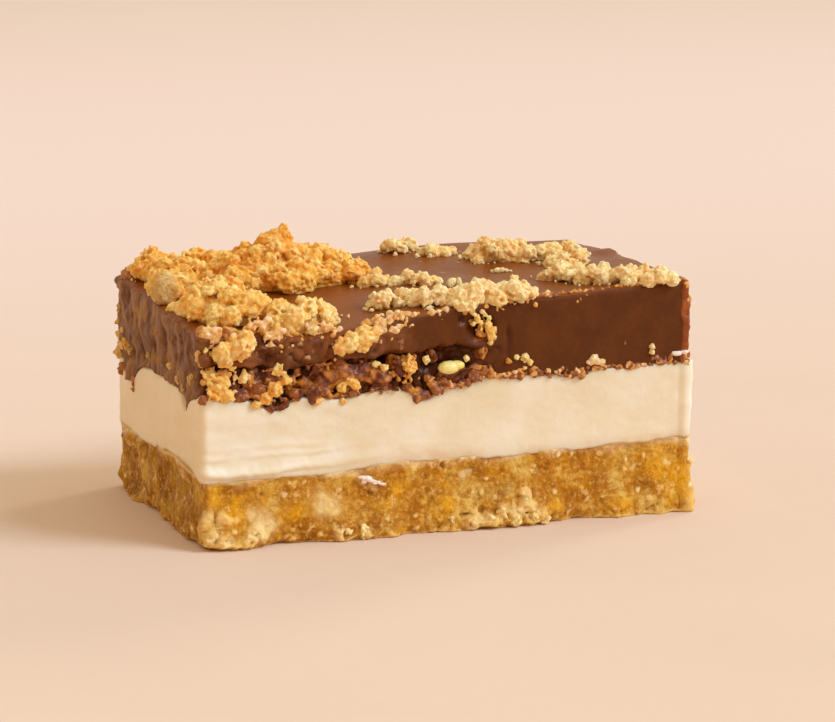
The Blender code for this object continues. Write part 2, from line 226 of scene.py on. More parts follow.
def sidesOf(outwards):
    # how far each outline point faces the front, the right, the back and the left, from 0 to 1
    x, y = outwards[:, :1], outwards[:, 1:]
    return [np.maximum(0, share) for share in (-y, x, y, -x)]


def columnPlaces(points, heights):
    across = np.repeat(points[:, None, :], heights.shape[1], 1)
    return np.concatenate([across, heights[..., None]], axis=-1)


def columnsBetween(points, floor, roof, rows):
    heights = floor[:, None] + (roof - floor)[:, None] * np.linspace(0, 1, rows)[None, :]
    return heights, columnPlaces(points, heights)


def pushedOut(points, outwards, out, heights):
    plan = points[:, None, :] + outwards[:, None, :] * out[..., None]
    return np.concatenate([plan, heights[..., None]], axis=-1)


# Meshes from arrays

def addValue(mesh, key, numbers):
    mesh.attributes.new(key, "FLOAT", "POINT").data.foreach_set("value", np.asarray(numbers, np.float32))


def meshObject(name, verts, faces, values=None, smooth=True):
    mesh = bpy.data.meshes.new(name)
    mesh.from_pydata((verts + np.array(bar["shift"])).tolist(), [], faces)
    mesh.update()
    for key, numbers in (values or {}).items():
        addValue(mesh, key, numbers)
    if smooth:
        mesh.shade_smooth()
    made = bpy.data.objects.new(name, mesh)
    bpy.context.scene.collection.objects.link(made)
    return made


def wallFaces(columns, rows):
    index = np.arange(columns * rows).reshape(columns, rows)
    after = np.roll(index, -1, axis=0)
    quads = np.stack([index[:, :-1], after[:, :-1], after[:, 1:], index[:, 1:]], axis=-1)
    return quads.reshape(-1, 4).tolist()


sheetGrid = {"margin": 1.6 * mm, "cornerCut": 1.985}


def sheetOver(rim, spacing, height, facesUp):
    # fills a rim, given as its index in the mesh and its place, with a grid of points
    margin = 1 - sheetGrid["margin"] / (bar["depth"] / 2)
    halfX, halfY = bar["length"] / 2 * margin, bar["depth"] / 2 * margin
    columns, rows = round(2 * halfX / spacing), round(2 * halfY / spacing)
    inner = [
        Vector((halfX * (2 * i / columns - 1), halfY * (2 * j / rows - 1)))
        for i in range(columns + 1) for j in range(rows + 1)
        if abs(2 * i / columns - 1) + abs(2 * j / rows - 1) < sheetGrid["cornerCut"]
    ]
    plan = [Vector(place[:2]) for _, place in rim] + inner
    edges = [(i, (i + 1) % len(rim)) for i in range(len(rim))]
    points, _, faces, sources, _, _ = geometry.delaunay_2d_cdt(plan, edges, [], 1, 1e-9)
    start = max(index for index, _ in rim) + 1
    verts, numbers = [], []
    for point, source in zip(points, sources):
        if source and source[0] < len(rim):
            numbers.append(rim[source[0]][0])
        else:
            numbers.append(start + len(verts))
            verts.append((point.x, point.y, height(point.x, point.y)))
    turned = [[numbers[i] for i in (face if facesUp else reversed(face))] for face in faces]
    return np.array(verts).reshape(-1, 3), turned


def layerObject(name, columns, values, floor, roof, floorGrid, roofGrid):
    count, rows = columns.shape[:2]
    verts = columns.reshape(-1, 3)
    faces = wallFaces(count, rows)
    for row, height, spacing, facesUp in ((0, floor, floorGrid, False), (rows - 1, roof, roofGrid, True)):
        rim = [(i * rows + row, columns[i, row]) for i in range(count)]
        more, turned = sheetOver(rim, spacing, height, facesUp)
        keep = max(index for index, _ in rim)
        lift = len(verts) - (keep + 1)
        faces += [[i + lift if i > keep else i for i in face] for face in turned]
        verts = np.concatenate([verts, more])
    padded = {}
    for key, numbers in values.items():
        flat = numbers.reshape(-1)
        padded[key] = np.concatenate([flat, np.zeros(len(verts) - len(flat))])
    return meshObject(name, verts, faces, padded)


def vertexArrays(mesh):
    places = np.empty(len(mesh.vertices) * 3)
    normals = np.empty(len(mesh.vertices) * 3)
    mesh.vertices.foreach_get("co", places)
    mesh.vertices.foreach_get("normal", normals)
    return places.reshape(-1, 3), normals.reshape(-1, 3)


def crestOf(mesh, steps):
    # how far each point stands proud of its blurred surface: positive on crests, negative in crevices
    places, normals = vertexArrays(mesh)
    ends = np.empty(len(mesh.edges) * 2, np.int32)
    mesh.edges.foreach_get("vertices", ends)
    first, second = ends.reshape(-1, 2).T
    count = np.bincount(first, minlength=len(places)) + np.bincount(second, minlength=len(places))
    blurred = places.copy()
    for _ in range(steps):
        total = [
            np.bincount(first, blurred[second, k], len(places))
            + np.bincount(second, blurred[first, k], len(places))
            for k in range(3)
        ]
        blurred = np.stack(total, axis=1) / np.maximum(count, 1)[:, None]
    return ((places - blurred) * normals).sum(axis=1)


# Shader helpers

def newMaterial(name, roughness):
    material = bpy.data.materials.new(name)
    material.use_nodes = True
    shader = material.node_tree.nodes["Principled BSDF"]
    shader.inputs["Roughness"].default_value = roughness
    shader.inputs["Metallic"].default_value = 0.0
    return material, material.node_tree, shader


def srgb(red, green, blue):
    # an everyday 0 to 255 colour as the light values that Blender mixes
    shares = [part / 255 for part in (red, green, blue)]
    linear = [c / 12.92 if c < 0.04045 else ((c + 0.055) / 1.055) ** 2.4 for c in shares]
    return (*linear, 1.0)


def feed(tree, socket, value):
    # another node's output is linked to the socket, and a plain value is set on it
    if isinstance(value, bpy.types.NodeSocket):
        tree.links.new(value, socket)
    else:
        socket.default_value = value


def addNode(tree, kind, settings=None, **inputs):
    node = tree.nodes.new(kind)
    for key, value in (settings or {}).items():
        setattr(node, key, value)
    for key, value in inputs.items():
        feed(tree, node.inputs[key.replace("_", " ")], value)
    return node


def mixColour(tree, factor, first, second):
    node = addNode(tree, "ShaderNodeMix", {"data_type": "RGBA"})
    for place, value in ((0, factor), (6, first), (7, second)):
        feed(tree, node.inputs[place], value)
    return node.outputs[2]


def maths(tree, operation, first, second):
    node = addNode(tree, "ShaderNodeMath", {"operation": operation})
    for socket, value in zip(node.inputs, (first, second)):
        feed(tree, socket, value)
    return node.outputs[0]


def product(tree, first, second):
    return maths(tree, "MULTIPLY", first, second)


def span(tree, value, low, high, newLow=0.0, newHigh=1.0):
    # value from low to high, softened at both ends, as newLow to newHigh
    node = addNode(tree, "ShaderNodeMapRange", {"interpolation_type": "SMOOTHSTEP"}, Value=value,
                   From_Min=low, From_Max=high, To_Min=newLow, To_Max=newHigh)
    return node.outputs["Result"]


def attribute(tree, key):
    return addNode(tree, "ShaderNodeAttribute", {"attribute_name": key}).outputs["Fac"]


def colourScale(tree, value, *steps):
    # colours along value: each step gives its place from 0 to 1 and its everyday colour
    node = tree.nodes.new("ShaderNodeValToRGB")
    elements = node.color_ramp.elements
    while len(elements) < len(steps):
        elements.new(0.5)
    for element, (place, *tone) in zip(elements, steps):
        element.position = place
        element.color = srgb(*tone)
    tree.links.new(value, node.inputs["Fac"])
    return node.outputs["Color"]


def groupWith(name, inputs, outputs):
    # a node group of plain numbers: its inputs with their usual values, and its outputs
    group = bpy.data.node_groups.new(name, "ShaderNodeTree")
    for key, value in inputs.items():
        socket = group.interface.new_socket(key, in_out="INPUT", socket_type="NodeSocketFloat")
        socket.default_value = value
    for key in outputs:
        group.interface.new_socket(key, in_out="OUTPUT", socket_type="NodeSocketFloat")
    given, out = group.nodes.new("NodeGroupInput"), group.nodes.new("NodeGroupOutput")
    place = addNode(group, "ShaderNodeNewGeometry").outputs["Position"]
    return group, given.outputs, out.inputs, place


def perSize(group, size):
    # the scale of a noise whose features are size across
    return maths(group, "DIVIDE", 1.0, size)


def wobbled(group, place, scale, finer, amount):
    # the place pushed about by a noise, finer times as fine as scale, by amount
    scale = product(group, scale, finer)
    push = addNode(group, "ShaderNodeTexNoise", Vector=place, Scale=scale, Detail=2.0)
    middle = addNode(group, "ShaderNodeVectorMath", {"operation": "SUBTRACT"})
    group.links.new(push.outputs["Color"], middle.inputs[0])
    middle.inputs[1].default_value = (0.5, 0.5, 0.5)
    pushed = addNode(group, "ShaderNodeVectorMath", {"operation": "SCALE"}, Scale=amount)
    group.links.new(middle.outputs["Vector"], pushed.inputs[0])
    moved = addNode(group, "ShaderNodeVectorMath", {"operation": "ADD"})
    group.links.new(place, moved.inputs[0])
    group.links.new(pushed.outputs["Vector"], moved.inputs[1])
    return moved.outputs["Vector"]


def makeMottle():
    # patches of slightly different colour at two sizes, as a mask from 0 to 1
    group, given, out, place = groupWith(
        "mottle", {"Patch Size": 0.006, "Speck Size": 0.0012, "Speck Share": 0.35}, ["Mask"])
    masks = []
    for key in ("Patch Size", "Speck Size"):
        scale = perSize(group, given[key])
        patches = addNode(group, "ShaderNodeTexNoise", Vector=place, Scale=scale, Detail=3.0)
        masks.append(patches.outputs["Fac"])
    keep = maths(group, "SUBTRACT", 1.0, given["Speck Share"])
    broad, small = product(group, masks[0], keep), product(group, masks[1], given["Speck Share"])
    group.links.new(span(group, maths(group, "ADD", broad, small), 0.33, 0.67), out["Mask"])
    return group


def makeFineGrain():
    # the finest relief, as a height for a Bump node: soft lumps with small pits
    group, given, out, place = groupWith(
        "fineGrain", {"Grain Size": 0.0006, "Pit Size": 0.0015, "Pit Share": 0.3}, ["Height"])
    scale = perSize(group, given["Grain Size"])
    grain = addNode(group, "ShaderNodeTexNoise", Vector=place, Detail=4.0, Scale=scale).outputs["Fac"]
    scale = perSize(group, given["Pit Size"])
    cells = addNode(group, "ShaderNodeTexVoronoi", Vector=place, Scale=scale).outputs["Distance"]
    pits = product(group, span(group, cells, 0.0, 0.35), given["Pit Share"])
    group.links.new(maths(group, "ADD", grain, pits), out["Height"])
    return group


def makeSpecks():
    # scattered small bits with crisp edges, as a mask from 0 to 1
    group, given, out, place = groupWith("specks", {"Size": 0.001, "Share": 0.2, "Reach": 0.4}, ["Mask"])
    scale = perSize(group, given["Size"])
    moved = wobbled(group, place, scale, 1.7, given["Size"])
    cells = addNode(group, "ShaderNodeTexVoronoi", Vector=moved, Scale=scale)
    number = addNode(group, "ShaderNodeSeparateColor", Color=cells.outputs["Color"]).outputs["Red"]
    chosen = maths(group, "LESS_THAN", number, given["Share"])
    rim, full = product(group, given["Reach"], 1.25), product(group, given["Reach"], 0.75)
    near = span(group, cells.outputs["Distance"], rim, full)
    group.links.new(product(group, chosen, near), out["Mask"])
    return group


def makeGrains():
    # packed small grains: their height, and a mask that is 1 on their tips
    group, given, out, place = groupWith("grains", {"Size": 0.0006}, ["Height", "Tips"])
    scale = perSize(group, given["Size"])
    moved = wobbled(group, place, scale, 0.8, product(group, given["Size"], 1.6))
    large = addNode(group, "ShaderNodeTexVoronoi", Vector=moved, Scale=scale).outputs["Distance"]
    finer = product(group, scale, 2.3)
    small = addNode(group, "ShaderNodeTexVoronoi", Vector=moved, Scale=finer).outputs["Distance"]
    depth = maths(group, "ADD", product(group, large, large), product(group, small, 0.25))
    group.links.new(maths(group, "SUBTRACT", 1.0, depth), out["Height"])
    group.links.new(span(group, depth, 0.75, 0.12), out["Tips"])
    return group


mottle = makeMottle()
fineGrain = makeFineGrain()
specks = makeSpecks()
grains = makeGrains()


def placeGroup(tree, group, **inputs):
    node = tree.nodes.new("ShaderNodeGroup")
    node.node_tree = group
    for key, value in inputs.items():
        node.inputs[key.replace("_", " ")].default_value = value
    return node


def mottled(tree, patchSize, speckSize, speckShare):
    sizes = {"Patch_Size": patchSize, "Speck_Size": speckSize, "Speck_Share": speckShare}
    return placeGroup(tree, mottle, **sizes).outputs["Mask"]


def specked(tree, size, share, reach):
    return placeGroup(tree, specks, Size=size, Share=share, Reach=reach).outputs["Mask"]


def tinted(tree, colour, mask, tone):
    # the colour turned to tone, an everyday colour or another socket, where mask is 1
    return mixColour(tree, mask, colour, srgb(*tone) if isinstance(tone, tuple) else tone)


def softInside(shader, weight, radius, scale):
    # light that goes in under the surface: how much, how far for red, green and blue, and its scale
    shader.inputs["Subsurface Weight"].default_value = weight
    shader.inputs["Subsurface Radius"].default_value = radius
    shader.inputs["Subsurface Scale"].default_value = scale


def addBump(tree, shader, height, distance):
    node = addNode(tree, "ShaderNodeBump", Height=height, Distance=distance, Strength=1.0)
    tree.links.new(node.outputs["Normal"], shader.inputs["Normal"])


def grainBump(tree, shader, grainSize, pitSize, pitShare, distance):
    sizes = {"Grain_Size": grainSize, "Pit_Size": pitSize, "Pit_Share": pitShare}
    addBump(tree, shader, placeGroup(tree, fineGrain, **sizes).outputs["Height"], distance)


# Studio: a wide peach floor, a soft cool key from the front right and warm light all round

studio = {
    "floorNear": srgb(234, 208, 183),
    # floorMiddle, floorFarLeft and floorFarRight are painted light and painted shade across the floor
    # further back
    "floorMiddle": srgb(237, 214, 198),
    "floorFarLeft": srgb(216, 189, 161),
    "floorFarRight": srgb(226, 203, 182),
    "floorHalf": 4.0,
    "floorShade": 0.975,
    "middleFrom": (-0.05, 0.5),
    "farFrom": (0.5, 2.2),
    "farSides": (-0.5, 0.5),
    "keyFrom": (0.62, -0.48, 0.62),
    "keyAngle": 28,
    "keyStrength": 2.42,
    "keyColour": (0.60, 0.76, 1.0),
    "rimFrom": (0.95, 0.5, 0.35),
    "rimAngle": 15,
    "rimStrength": 0.8,
    "rimColour": (1.0, 1.0, 1.0),
    "skyColour": (0.735, 0.612, 0.476, 1.0),
    "backColour": srgb(241, 217, 198),
}


def makeSun(name, direction, angle, strength, colour):
    light = bpy.data.lights.new(name, "SUN")
    light.angle = math.radians(angle)
    light.energy = strength
    light.color = colour
    lamp = bpy.data.objects.new(name, light)
    lamp.rotation_euler = Vector(direction).to_track_quat("Z", "Y").to_euler()
    bpy.context.scene.collection.objects.link(lamp)


def makeStudio():
    scene = bpy.context.scene
    half = studio["floorHalf"]
    mesh = bpy.data.meshes.new("floor")
    corners = [(-half, -half, 0), (half, -half, 0), (half, half, 0), (-half, half, 0)]
    mesh.from_pydata(corners, [], [(0, 1, 2, 3)])
    floor = bpy.data.objects.new("floor", mesh)
    scene.collection.objects.link(floor)
    material, tree, shader = newMaterial("peachPaper", 0.8)
    position = addNode(tree, "ShaderNodeNewGeometry").outputs["Position"]
    place = addNode(tree, "ShaderNodeSeparateXYZ", Vector=position)
    # from near to far the floor's colour grows a little lighter, then darker, most at the far left: painted
    # light and painted shade across the backdrop
    away = span(tree, place.outputs["Y"], *studio["middleFrom"])
    patches = mottled(tree, 0.05, 0.003, 0.25)
    shaded = tuple(c * studio["floorShade"] for c in studio["floorNear"][:3]) + (1.0,)
    near = mixColour(tree, patches, studio["floorNear"], shaded)
    sideways = span(tree, place.outputs["X"], *studio["farSides"])
    far = mixColour(tree, sideways, studio["floorFarLeft"], studio["floorFarRight"])
    middle = mixColour(tree, away, near, studio["floorMiddle"])
    colour = mixColour(tree, span(tree, place.outputs["Y"], *studio["farFrom"]), middle, far)
    tree.links.new(colour, shader.inputs["Base Color"])
    shader.inputs["Specular IOR Level"].default_value = 0.1
    mesh.materials.append(material)
    floor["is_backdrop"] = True
    for light in ("key", "rim"):
        settings = [studio[light + part] for part in ("From", "Angle", "Strength", "Colour")]
        makeSun(light + "Light", *settings)
    world = bpy.data.worlds.new("studioWorld")
    world.use_nodes = True
    tree = world.node_tree
    seen = addNode(tree, "ShaderNodeLightPath").outputs["Is Camera Ray"]
    tree.links.new(mixColour(tree, seen, studio["skyColour"], studio["backColour"]),
                   tree.nodes["Background"].inputs["Color"])
    scene.world = world
    scene.view_settings.view_transform = "Standard"
    print("studio ready")


# Camera: azimuth and elevation in degrees, focal length in pixels of the image width
cameraView = {
    "azimuth": -20.18,
    "elevation": 9.614,
    "distance": 462.3 * mm,
    "target": (3.46 * mm, 0.0, 22.97 * mm),
    "focal": 2800.0,
    "imageWidth": 835,
    "sensor": 36.0,
    "clipStart": 0.01,
}


def makeCamera():
    azimuth, elevation = math.radians(cameraView["azimuth"]), math.radians(cameraView["elevation"])
    level = math.cos(elevation)
    back = Vector((math.sin(azimuth) * level, -math.cos(azimuth) * level, math.sin(elevation)))
    camera = bpy.data.cameras.new("camera")
    camera.sensor_width = cameraView["sensor"]
    camera.lens = cameraView["focal"] * camera.sensor_width / cameraView["imageWidth"]
    camera.clip_start = cameraView["clipStart"]
    holder = bpy.data.objects.new("camera", camera)
    holder.location = Vector(cameraView["target"]) + bar["shift"] + back * cameraView["distance"]
    holder.rotation_euler = (-back).to_track_quat("-Z", "Y").to_euler()
    bpy.context.scene.collection.objects.link(holder)
    bpy.context.scene.camera = holder


makeStudio()
makeCamera()

# Pressed crumb base

baseShape = {
    "step": 0.25 * mm,
    "rows": 54,
    "footHeight": 6.5 * mm,
    "gapHeight": 1.5 * mm,
    "footRound": 0.35 * mm,
    "gap": 1.0 * mm,
    "backBulge": 0.4 * mm,
    "rightBulge": 2.3 * mm,
    "leftInset": 0.2 * mm,
    "lump": (5.4 * mm, 0.95 * mm),
    "dent": (2.4 * mm, 0.75 * mm),
    "knob": (1.7 * mm, 0.42 * mm),
    "grain": (0.95 * mm, 0.24 * mm),
    "dust": (0.5 * mm, 0.09 * mm),
    "bit": (1.2 * mm, 0.16 * mm),
    "chunk": (3.0 * mm, 1.0 * mm),
    "pit": (2.1 * mm, 0.5 * mm),
    "mass": 0.85 * mm,
    "lowHeight": 4.5 * mm,
    "gapCrest": 0.45 * mm,
    "ragged": (1.8 * mm, 1.4 * mm),
    "filmFrom": (-24 * mm, 20 * mm),
    "roofGap": 0.4 * mm,
    "sheetSpacing": 8 * mm,
}
# How far the foot stands out in front of the cut, or in where it is less than 0: x, reach
footLine = (
    (-41, 1.0), (-36, 2.1), (-31.5, 1.8), (-27.8, -0.7), (-24, 1.0), (-20, 2.0), (-15, 1.8), (-7, 0.7),
    (2, 1.4), (9.5, 2.4), (15.5, 1.6), (18.5, 0.2), (22, -0.7), (27, 0.7), (42, 0.9),
)
# Masses of paler crumb that stand out at the foot: x, height, radius
baseMasses = (
    (3.6, 1.2, 1.5), (6.1, 1.6, 1.3), (8.2, 2.4, 1.5), (10.4, 1.4, 1.5), (12.6, 3.0, 1.7),
    (13.4, 1.0, 1.5), (15.3, 0.8, 1.3), (12.4, 4.6, 1.0), (-40.9, 4.2, 1.6), (-39.8, 1.6, 1.5),
    (-37.6, 1.2, 1.4), (-35.4, 1.0, 1.3), (-33.4, 1.4, 1.2), (-31.6, 2.6, 1.6), (-37.4, 4.6, 1.2),
    (-15.0, 1.2, 1.0), (-19.6, 0.9, 1.0),
)
# Stains in the front, each x, height and radius: pale smears, amber syrup and browner crumb
baseStains = {
    "smear": (
        (-39.6, 5.2, 1.5), (-30.9, 3.6, 2.6), (-33.2, 4.8, 1.2), (-21.2, 5.9, 2.3), (-19.6, 4.6, 1.1),
        (-14.8, 9.3, 1.0), (-12.8, 8.5, 0.9), (2.6, 8.8, 0.9), (31.7, 8.2, 0.8),
    ),
    "amber": (
        (-35.6, 4.9, 2.0), (-35.2, 7.2, 1.6), (-25.4, 4.4, 1.9), (-9.2, 7.6, 1.6), (39.6, 5.6, 3.8),
        (36.0, 7.6, 2.6), (30.0, 2.0, 1.8), (17.4, 2.6, 1.6), (-1.0, 4.0, 1.2), (-38.6, 8.0, 1.5),
    ),
    "brown": (
        (-13.3, 7.0, 1.3), (-24.0, 1.8, 1.8), (-19.0, 1.9, 2.0), (25.4, 6.2, 2.0), (3.6, 9.2, 1.9),
        (18.2, 11.7, 1.2), (30.9, 11.2, 1.0), (-13.0, 2.4, 2.0), (8.4, 5.4, 1.8), (33.6, 4.6, 1.8),
        (-35.2, 9.6, 1.4),
    ),
}


def footReach(x, z):
    # how far the front stands out, or in below 0, at x and z
    stations, reaches = np.array(footLine).T * mm
    reach = np.interp(x, stations, reaches)
    swell = ramp(1 - z / baseShape["footHeight"])
    return np.maximum(reach, 0) * swell + np.minimum(reach, 0) * ramp(1 - z / baseShape["gapHeight"])


def raisedBy(places, shape, seed, warpSeed):
    # lumps of a size and a rise, about their middle height
    size, rise = shape
    return rise * (billow(warped(places, size, warpSeed), size, seed) - 0.5)


def baseColumns():
    points, outwards = walkOutline(baseShape["step"])
    roof = tableOf(points, baseTop)
    heights, places = columnsBetween(points, 0 * roof, roof, baseShape["rows"])
    front, right, back, left = sidesOf(outwards)
    foot = ramp(1 - heights / baseShape["footHeight"])
    flare = ramp(front * 1.6) * footReach(points[:, :1], heights)
    behind = ramp(points[:, 1:] / bar["depth"] + 0.5)
    out = baseShape["rightBulge"] * right * (0.55 + 0.45 * foot)
    out += baseShape["backBulge"] * back * (0.4 + foot)
    out -= baseShape["leftInset"] * left * (0.3 + 0.9 * foot) * (1 - 1.9 * behind)
    lumpSize, lumpRise = baseShape["lump"]
    dentSize, dentRise = baseShape["dent"]
    lumps = lumpRise * softNoise(places, lumpSize, 11) + dentRise * softNoise(places, dentSize, 12)
    out += lumps * (0.42 + 0.35 * left + 0.3 * right + 0.15 * foot) - 0.2 * mm
    low = ramp(1 - heights / baseShape["lowHeight"])
    relief = raisedBy(places, baseShape["knob"], 63, 61) * (0.35 + 1.3 * low ** 2 + 0.5 * right)
    relief += raisedBy(places, baseShape["grain"], 67, 65) * (0.6 + 0.6 * low - 0.25 * left)
    dustSize, dustRise = baseShape["dust"]
    relief += dustRise * (billow(places, dustSize, 69) - 0.5)
    chunkSize, chunkRise = baseShape["chunk"]
    chunks = warped(places, chunkSize, 81, 0.5) * np.array([1, 1, 0.75])
    chunkAway, chunkNumber = cellNoise(chunks, chunkSize, 83)
    relief += chunkRise * (0.4 - chunkAway) * (0.55 * left + 0.35 * right + 0.25 * low)
    stainSize, massSize = baseShape["ragged"]
    lobes = warped(places, massSize, 85, 0.6)
    mass = np.zeros_like(out)
    for x, z, radius in baseMasses:
        away = np.hypot(lobes[..., 0] / mm - x, lobes[..., 2] / mm - z) / radius
        mass = np.maximum(mass, front * ramp(1.5 - 1.1 * away))
    knobbly = 0.55 * billow(warped(places, 1.3 * mm, 87, 0.5), 1.3 * mm, 88)
    knobbly += 0.45 * billow(places, 0.65 * mm, 89)
    relief += baseShape["mass"] * mass * (0.4 + 0.8 * knobbly)
    bitSize, bitRise = baseShape["bit"]
    away, number = cellNoise(warped(places, bitSize, 26), bitSize, 21)
    bit = ramp((0.6 - away) / 0.4) * (number > 0.9 - 0.2 * low + 0.05 * left)
    relief += bitRise * bit
    pitSize, pitDepth = baseShape["pit"]
    pits, pitNumber = cellNoise(warped(places, pitSize, 56), pitSize, 51)
    relief -= pitDepth * bump(pits, 0.42) * (pitNumber > 0.94 - 0.12 * low)
    edge = np.clip(heights / baseShape["footRound"], 0, 1)
    out += relief - baseShape["footRound"] * (1 - np.sqrt(1 - (1 - edge) ** 2))
    lifted = np.clip(0.4 + 0.9 * softNoise(places, 5 * mm, 91), 0, 1)
    out -= baseShape["gap"] * lifted * ramp(1.6 - heights / baseShape["gapCrest"])
    out[:, 0] += 0.35 * mm * softNoise(places[:, 0], 1.6 * mm, 13)
    columns = pushedOut(points, outwards, out, heights)
    columns[..., 1] -= flare
    values = {
        "bit": bit,
        "bitTone": number,
        # share of the left face, for the painted shade on it
        "leftShade": left + 0 * out,
        "mass": mass,
        "chunk": chunkNumber,
        "foot": low * front,
        "chunky": ramp(1.4 - 1.6 * chunkAway) * np.clip(left + 0.45 * low + 0.4 * right, 0, 1),
    }
    ragged = warped(places, stainSize, 71, 0.5)
    for key, stains in baseStains.items():
        values[key] = np.zeros_like(out)
        for x, z, radius in stains:
            away = np.hypot(ragged[..., 0] / mm - x, ragged[..., 2] / mm - z) / radius
            values[key] = np.maximum(values[key], front * np.exp(-away ** 2 * 1.2))
    filmFrom, filmOver = baseShape["filmFrom"]
    lateral = ramp((points[:, :1] - filmFrom) / filmOver)
    filmDepth = (0.9 + 0.7 * lateral + (0.9 + 0.5 * lateral) * softNoise(places, 3.4 * mm, 73)) * mm
    values["film"] = ramp(1 - (roof[:, None] - heights) / np.maximum(filmDepth, 0.2 * mm))
    return columns, values


def pressedCrumbMaterial():
    material, tree, shader = newMaterial("pressedCrumb", 0.46)

    def value(key, share):
        return product(tree, attribute(tree, key), share)

    broad, blotch = mottled(tree, 0.0062, 0.0018, 0.3), mottled(tree, 0.0034, 0.0012, 0.2)
    fine = mottled(tree, 0.0009, 0.0004, 0.45)
    crest = attribute(tree, "crest")
    chunks = colourScale(tree, attribute(tree, "chunk"), (0.0, 140, 78, 8), (0.25, 186, 126, 20),
                         (0.45, 206, 156, 50), (0.6, 160, 98, 12), (0.8, 224, 178, 92),
                         (1.0, 196, 136, 24))
    massColour = mixColour(tree, blotch, srgb(238, 190, 96), srgb(252, 224, 160))
    bitColour = colourScale(tree, attribute(tree, "bitTone"), (0.7, 244, 208, 132), (0.8, 232, 176, 80),
                            (0.9, 252, 232, 176), (1.0, 244, 196, 110))
    tips = product(tree, span(tree, crest, 0.2, 1.4), attribute(tree, "foot"))
    flakes = product(tree, specked(tree, 0.0022, 0.3, 0.34), span(tree, fine, 0.2, 0.7))
    smear = maths(tree, "SUBTRACT", attribute(tree, "smear"), product(tree, fine, 0.12))
    film = product(tree, attribute(tree, "film"), span(tree, broad, 0.1, 0.8, 0.3, 0.9))
    colour = colourScale(tree, broad, (0.0, 176, 111, 22), (0.3, 194, 129, 34), (0.6, 204, 145, 48),
                         (0.8, 212, 160, 64), (1.0, 222, 180, 92))
    for mask, tone in (
        # darker brown on the left face: painted shade
        (value("leftShade", 0.6), (124, 76, 4)),
        (value("chunky", 0.75), chunks),
        (span(tree, blotch, 0.7, 1.0, 0.0, 0.5), (222, 156, 16)),
        (span(tree, blotch, 0.26, 0.0, 0.0, 0.45), (150, 88, 6)),
        (value("amber", 0.75), (238, 172, 18)),
        (value("brown", 0.7), (146, 82, 8)),
        (span(tree, fine, 0.5, 1.0, 0.0, 0.4), (234, 190, 98)),
        (span(tree, fine, 0.4, 0.0, 0.0, 0.4), (148, 86, 14)),
        # paler on crests: painted highlight; the paler tips at the foot are partly pale crumbs, partly
        # painted highlight
        (span(tree, crest, 0.2, 1.4, 0.0, 0.45), (236, 192, 104)),
        (product(tree, tips, 0.8), (244, 204, 122)),
        (value("mass", 0.8), massColour),
        (span(tree, attribute(tree, "bit"), 0.1, 1.0, 0.0, 0.7), bitColour),
        (product(tree, specked(tree, 0.0008, 0.25, 0.3), 0.4), (240, 196, 116)),
        (product(tree, flakes, 0.6), (240, 198, 124)),
        (span(tree, smear, 0.0, 1.0, 0.0, 0.7), (246, 214, 146)),
        (film, (240, 202, 150)),
        # darker in crevices: painted shade
        (span(tree, crest, -1.2, 0.0, 0.75, 0.0), (118, 62, 8)),
    ):
        colour = tinted(tree, colour, mask, tone)
    tree.links.new(colour, shader.inputs["Base Color"])
    tree.links.new(span(tree, fine, 0.0, 1.0, 0.34, 0.6), shader.inputs["Roughness"])
    shader.inputs["Specular IOR Level"].default_value = 0.08
    softInside(shader, 0.45, (1.0, 0.5, 0.1), 1.1 * mm)
    addBump(tree, shader, placeGroup(tree, grains, Size=0.0008).outputs["Height"], 0.12 * mm)
    return material


def makeBase():
    columns, values = baseColumns()
    spacing = baseShape["sheetSpacing"]
    made = layerObject("pressedBase", columns, values, lambda x, y: 0.0,
                       lambda x, y: baseTop(x, y) - baseShape["roofGap"], spacing, spacing)
    addValue(made.data, "crest", crestOf(made.data, 6) / (0.25 * mm))
    made.data.materials.append(pressedCrumbMaterial())
    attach(made, "root")
    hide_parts("biscuit_base")
    print("base ready:", len(made.data.polygons), "faces")


makeBase()

# Cream layer

creamShape = {
    "step": 0.42 * mm,
    "rows": 38,
    "lipTo": (-8 * mm, 18 * mm),
    "rimFrom": (39.8 * mm, 0.8 * mm),
    "filmDepth": 1.0 * mm,
    "filmFrom": (-22 * mm, 16 * mm),
    "brownedAt": (-5.5 * mm, 7 * mm),
    "ripple": (1.7 * mm, 0.16 * mm),
    "wipe": (6 * mm, 0.35 * mm),
    "inset": 0.25 * mm,
    "rightBulge": 1.35 * mm,
    "floorGap": 0.2 * mm,
    "roofGap": 0.3 * mm,
    "sheetSpacing": 9 * mm,
}
# Folds that the knife left in the front left: height over the base, half width, reach
creamFolds = ((1.3, 0.9, 0.7), (3.5, 0.5, 0.28), (5.2, 0.6, 0.2), (8.3, 0.9, 0.12))
# Whiter smears on the front: x, height, half length, half height, strength
creamSmears = (
    (-19.0, 13.6, 2.6, 1.7, 0.6), (-25.0, 11.6, 3.0, 0.7, 0.3), (-10.6, 12.6, 2.2, 1.0, 0.3),
    (2.6, 11.2, 3.4, 0.6, 0.5), (10.0, 11.8, 3.6, 0.5, 0.45), (-33.0, 15.0, 4.0, 0.8, 0.25),
)


